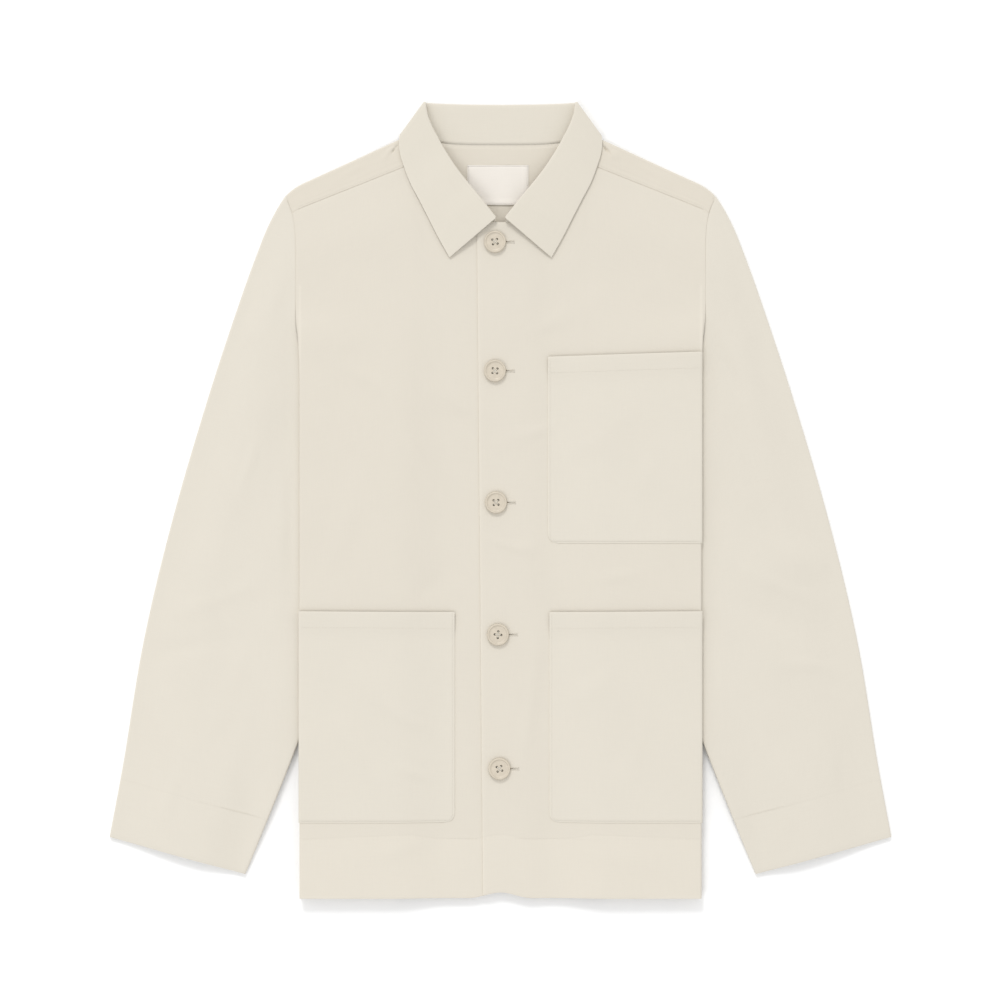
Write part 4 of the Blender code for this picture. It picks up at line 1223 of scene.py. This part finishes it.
def arch(start, end, low, high):
    """A strand that comes up at one hole, crosses and goes down at the other."""
    down, up = (*end, low - CROSS_DEEP), (*start, low - CROSS_DEEP)
    across = []
    for t in (0.12, 0.3, 0.5, 0.7, 0.88):
        across.append((*mix2(start, end, t), mix(low, high, math.sin(math.pi * t) ** 0.5)))
    return [up, *across, down]


def strands(name, paths, thick, material):
    """Round threads along paths of points in mm."""
    shape = bmesh.new()
    angles = [2 * math.pi * n / STRAND_SIDES for n in range(STRAND_SIDES)]
    for path in paths:
        points = [Vector(p) for p in path]
        rings = []
        for k, p in enumerate(points):
            ahead = (points[min(k + 1, len(points) - 1)] - points[max(k - 1, 0)]).normalized()
            turned = ahead.to_track_quat("Z", "X").to_matrix()
            corners = [p + turned @ Vector((thick * math.cos(a), thick * math.sin(a), 0)) for a in angles]
            rings.append([shape.verts.new(corner * MM) for corner in corners])
        for low_ring, high_ring in zip(rings, rings[1:]):
            for n in range(STRAND_SIDES):
                m = (n + 1) % STRAND_SIDES
                shape.faces.new((low_ring[n], low_ring[m], high_ring[m], high_ring[n]))
        shape.faces.new(rings[0][::-1])
        shape.faces.new(rings[-1])
    piece = finished(name, shape, material)
    piece.data.shade_smooth()
    on_jacket(piece)


button_thread = soft_thread("button thread", BUTTON_THREAD_TINT)
button_horn = horn("horn resin", BUTTON_TINT)
for number, (x, y, turned) in enumerate(BUTTONS, 1):
    holes, sunk = make_button(number, x, y, turned, button_horn)
    crosses = []
    for p, q, high in ((holes[0], holes[2], CROSS_UNDER), (holes[1], holes[3], CROSS_OVER)):
        off = Vector((p[1] - q[1], q[0] - p[0])).normalized() * CROSS_APART
        for side in (-1, 1):
            ends = [(c[0] + side * off[0], c[1] + side * off[1]) for c in (p, q)]
            crosses.append(arch(*ends, sunk + CROSS_LOW, sunk + high))
    strands(f"button_{number}_thread", crosses, CROSS_THICK, button_thread)

# The buttonholes. Each is a level slit in the left front that starts under its button and shows beyond it,
# with close satin stitches along both lips and a bar at each end.
HOLE_FROM, HOLE_TO = -3.5, 18.2
SLIT_TO, SLIT_FADE, SLIT_HALF = HOLE_TO - 3, 6.0, 0.42
# The slit's inside is a dark sheet of painted shade, standing for the shade in the open cut.
SLIT_SHADE_TINT = (0.20, 0.165, 0.12, 1.0)
LIP_STITCHES, LIP_FROM, LIP_TO = 32, 0.08, 1.3
BAR_OFF, BAR_HALF = 0.4, 1.6
SATIN_THICK = 0.26
ON_SLIT, ON_LIP, ON_BAR = ON_CLOTH + 0.06, ON_CLOTH + 0.12, ON_CLOTH + 0.2


def on_front(x, y, lift):
    return x, y, front_top(1, x, y) + lift


satin = []
slits = bmesh.new()
for x, y, _ in BUTTONS:
    for side in (-1, 1):
        for k in range(LIP_STITCHES + 1):
            along = mix(HOLE_FROM, HOLE_TO, k / LIP_STITCHES)
            gape = SLIT_HALF * smooth((SLIT_TO - along) / SLIT_FADE)
            satin.append([on_front(x + along, y + side * (off + gape), ON_LIP) for off in (LIP_FROM, LIP_TO)])
    for end in (x + HOLE_FROM - BAR_OFF, x + HOLE_TO + BAR_OFF):
        z = front_top(1, end, y) + ON_BAR
        satin.append([(end, y - BAR_HALF, z), (end, y + BAR_HALF, z)])
    rim = [(HOLE_FROM, -SLIT_HALF), (BUTTON_D / 2, -SLIT_HALF), (SLIT_TO, 0.0)]
    rim += [(BUTTON_D / 2, SLIT_HALF), (HOLE_FROM, SLIT_HALF)]
    slits.faces.new([slits.verts.new(Vector(on_front(x + p, y + q, ON_SLIT)) * MM) for p, q in rim])
strands("buttonhole_stitches", satin, SATIN_THICK, thread)
# A flat dark sheet of painted shade in each slit.
shade, _ = new_material(
    "painted shade in the buttonholes", Base_Color=SLIT_SHADE_TINT, Roughness=1.0, Specular_IOR_Level=0.25
)
on_jacket(finished("buttonhole_slit_shade", slits, shade))

# The label. It is a bare piece of woven satin tape with its ends turned under, sewn flat to the inside of the
# back.
LABEL_TINT, LABEL_THREAD_TINT = (0.805, 0.760, 0.698), (0.75, 0.71, 0.645)
LABEL_X, LABEL_Y = (-32.0, 27.0), (283.5, 321.6)
LABEL_WALL, LABEL_REST = 0.5, 0.85
LABEL_WAVE, LABEL_WAVE_LONG = 0.25, 9.0
LABEL_TURNED, LABEL_TURNED_OFF, LABEL_TURNED_STEP = 0.2, 5.0, 1.5
LABEL_CURL, LABEL_CURL_LONG, LABEL_CURL_IN = 0.7, 7.0, 6.0
LABEL_SIDE_DROP, LABEL_END_DROP = 0.2, 0.1
LABEL_SEWN_OFF, LABEL_GROOVE, LABEL_GROOVE_WIDTH = 1.6, 0.15, 0.6
LABEL_STITCH, LABEL_STITCH_GAP = 1.8, 0.6
LABEL_EDGE_WEAR = 1.2
ON_LABEL = 0.30


def satin_tape(name, color):
    """Woven satin: long floats across, with a faint line of weft and a soft shine."""
    material, paint = soft_cloth(name, 0.1)
    at = paint.node("ShaderNodeTexCoord", "Object")
    x, y = at.split()
    ribs = (y * 16000.0).sine()
    floats = at.node("ShaderNodeCombineXYZ", X=x * 90.0, Y=y * 2600.0).noise(1.0, 2.0)
    tone = 0.94 + floats * 0.06 + ribs * 0.012 + at.noise(60.0, 2.0) * 0.05
    surface(paint, color, tone, 0.52 + floats * 0.16, ribs * 0.4 + floats, 0.3, 0.0001)
    return material


def label_place(x, y):
    """The tape waves a little, its ends are double, and its lower edge curls up between them."""
    off_side = min(x - LABEL_X[0], LABEL_X[1] - x)
    off_end = min(y - LABEL_Y[0], LABEL_Y[1] - y)
    wave = math.sin(x / LABEL_WAVE_LONG + 0.7) * smooth(off_side / LABEL_WAVE_LONG)
    z = back_height(x, y) + LABEL_REST + LABEL_WAVE * wave
    z += LABEL_TURNED * (1 - smooth((off_side - LABEL_TURNED_OFF) / LABEL_TURNED_STEP))
    z += LABEL_CURL * (1 - smooth((y - LABEL_Y[0]) / LABEL_CURL_LONG)) * smooth(off_side / LABEL_CURL_IN)
    z -= edge_drop(off_side, LABEL_SIDE_DROP) + edge_drop(off_end, LABEL_END_DROP)
    z -= LABEL_GROOVE * ridge((off_side - LABEL_SEWN_OFF) / LABEL_GROOVE_WIDTH)
    return x, y, z, x, y, 1 - smooth(off_side / LABEL_EDGE_WEAR)


label = cloth(
    "label",
    steps(*LABEL_X, 0.8),
    steps(*LABEL_Y, 1.0),
    label_place,
    satin_tape("woven satin", LABEL_TINT),
    wall=LABEL_WALL,
)
label_lines = []
for x in (LABEL_X[0] + LABEL_SEWN_OFF, LABEL_X[1] - LABEL_SEWN_OFF):
    ways = line_of(12, lambda t: (x, mix(LABEL_Y[0] + 1, LABEL_Y[1] - 1, t)))
    label_lines.append([(x, y, label_place(x, y)[2] + ON_LABEL) for x, y in ways])
label_thread = soft_thread("label thread", LABEL_THREAD_TINT)
label_sewing = (LABEL_STITCH, LABEL_STITCH_GAP, FINE_STITCH)
label_stitches = sew("label_stitches", label_lines, label_thread, "woven_label", *label_sewing)

low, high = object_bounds()
{"cad": [list(c) for c in cad_box], "visual": [list(low), list(high)]}
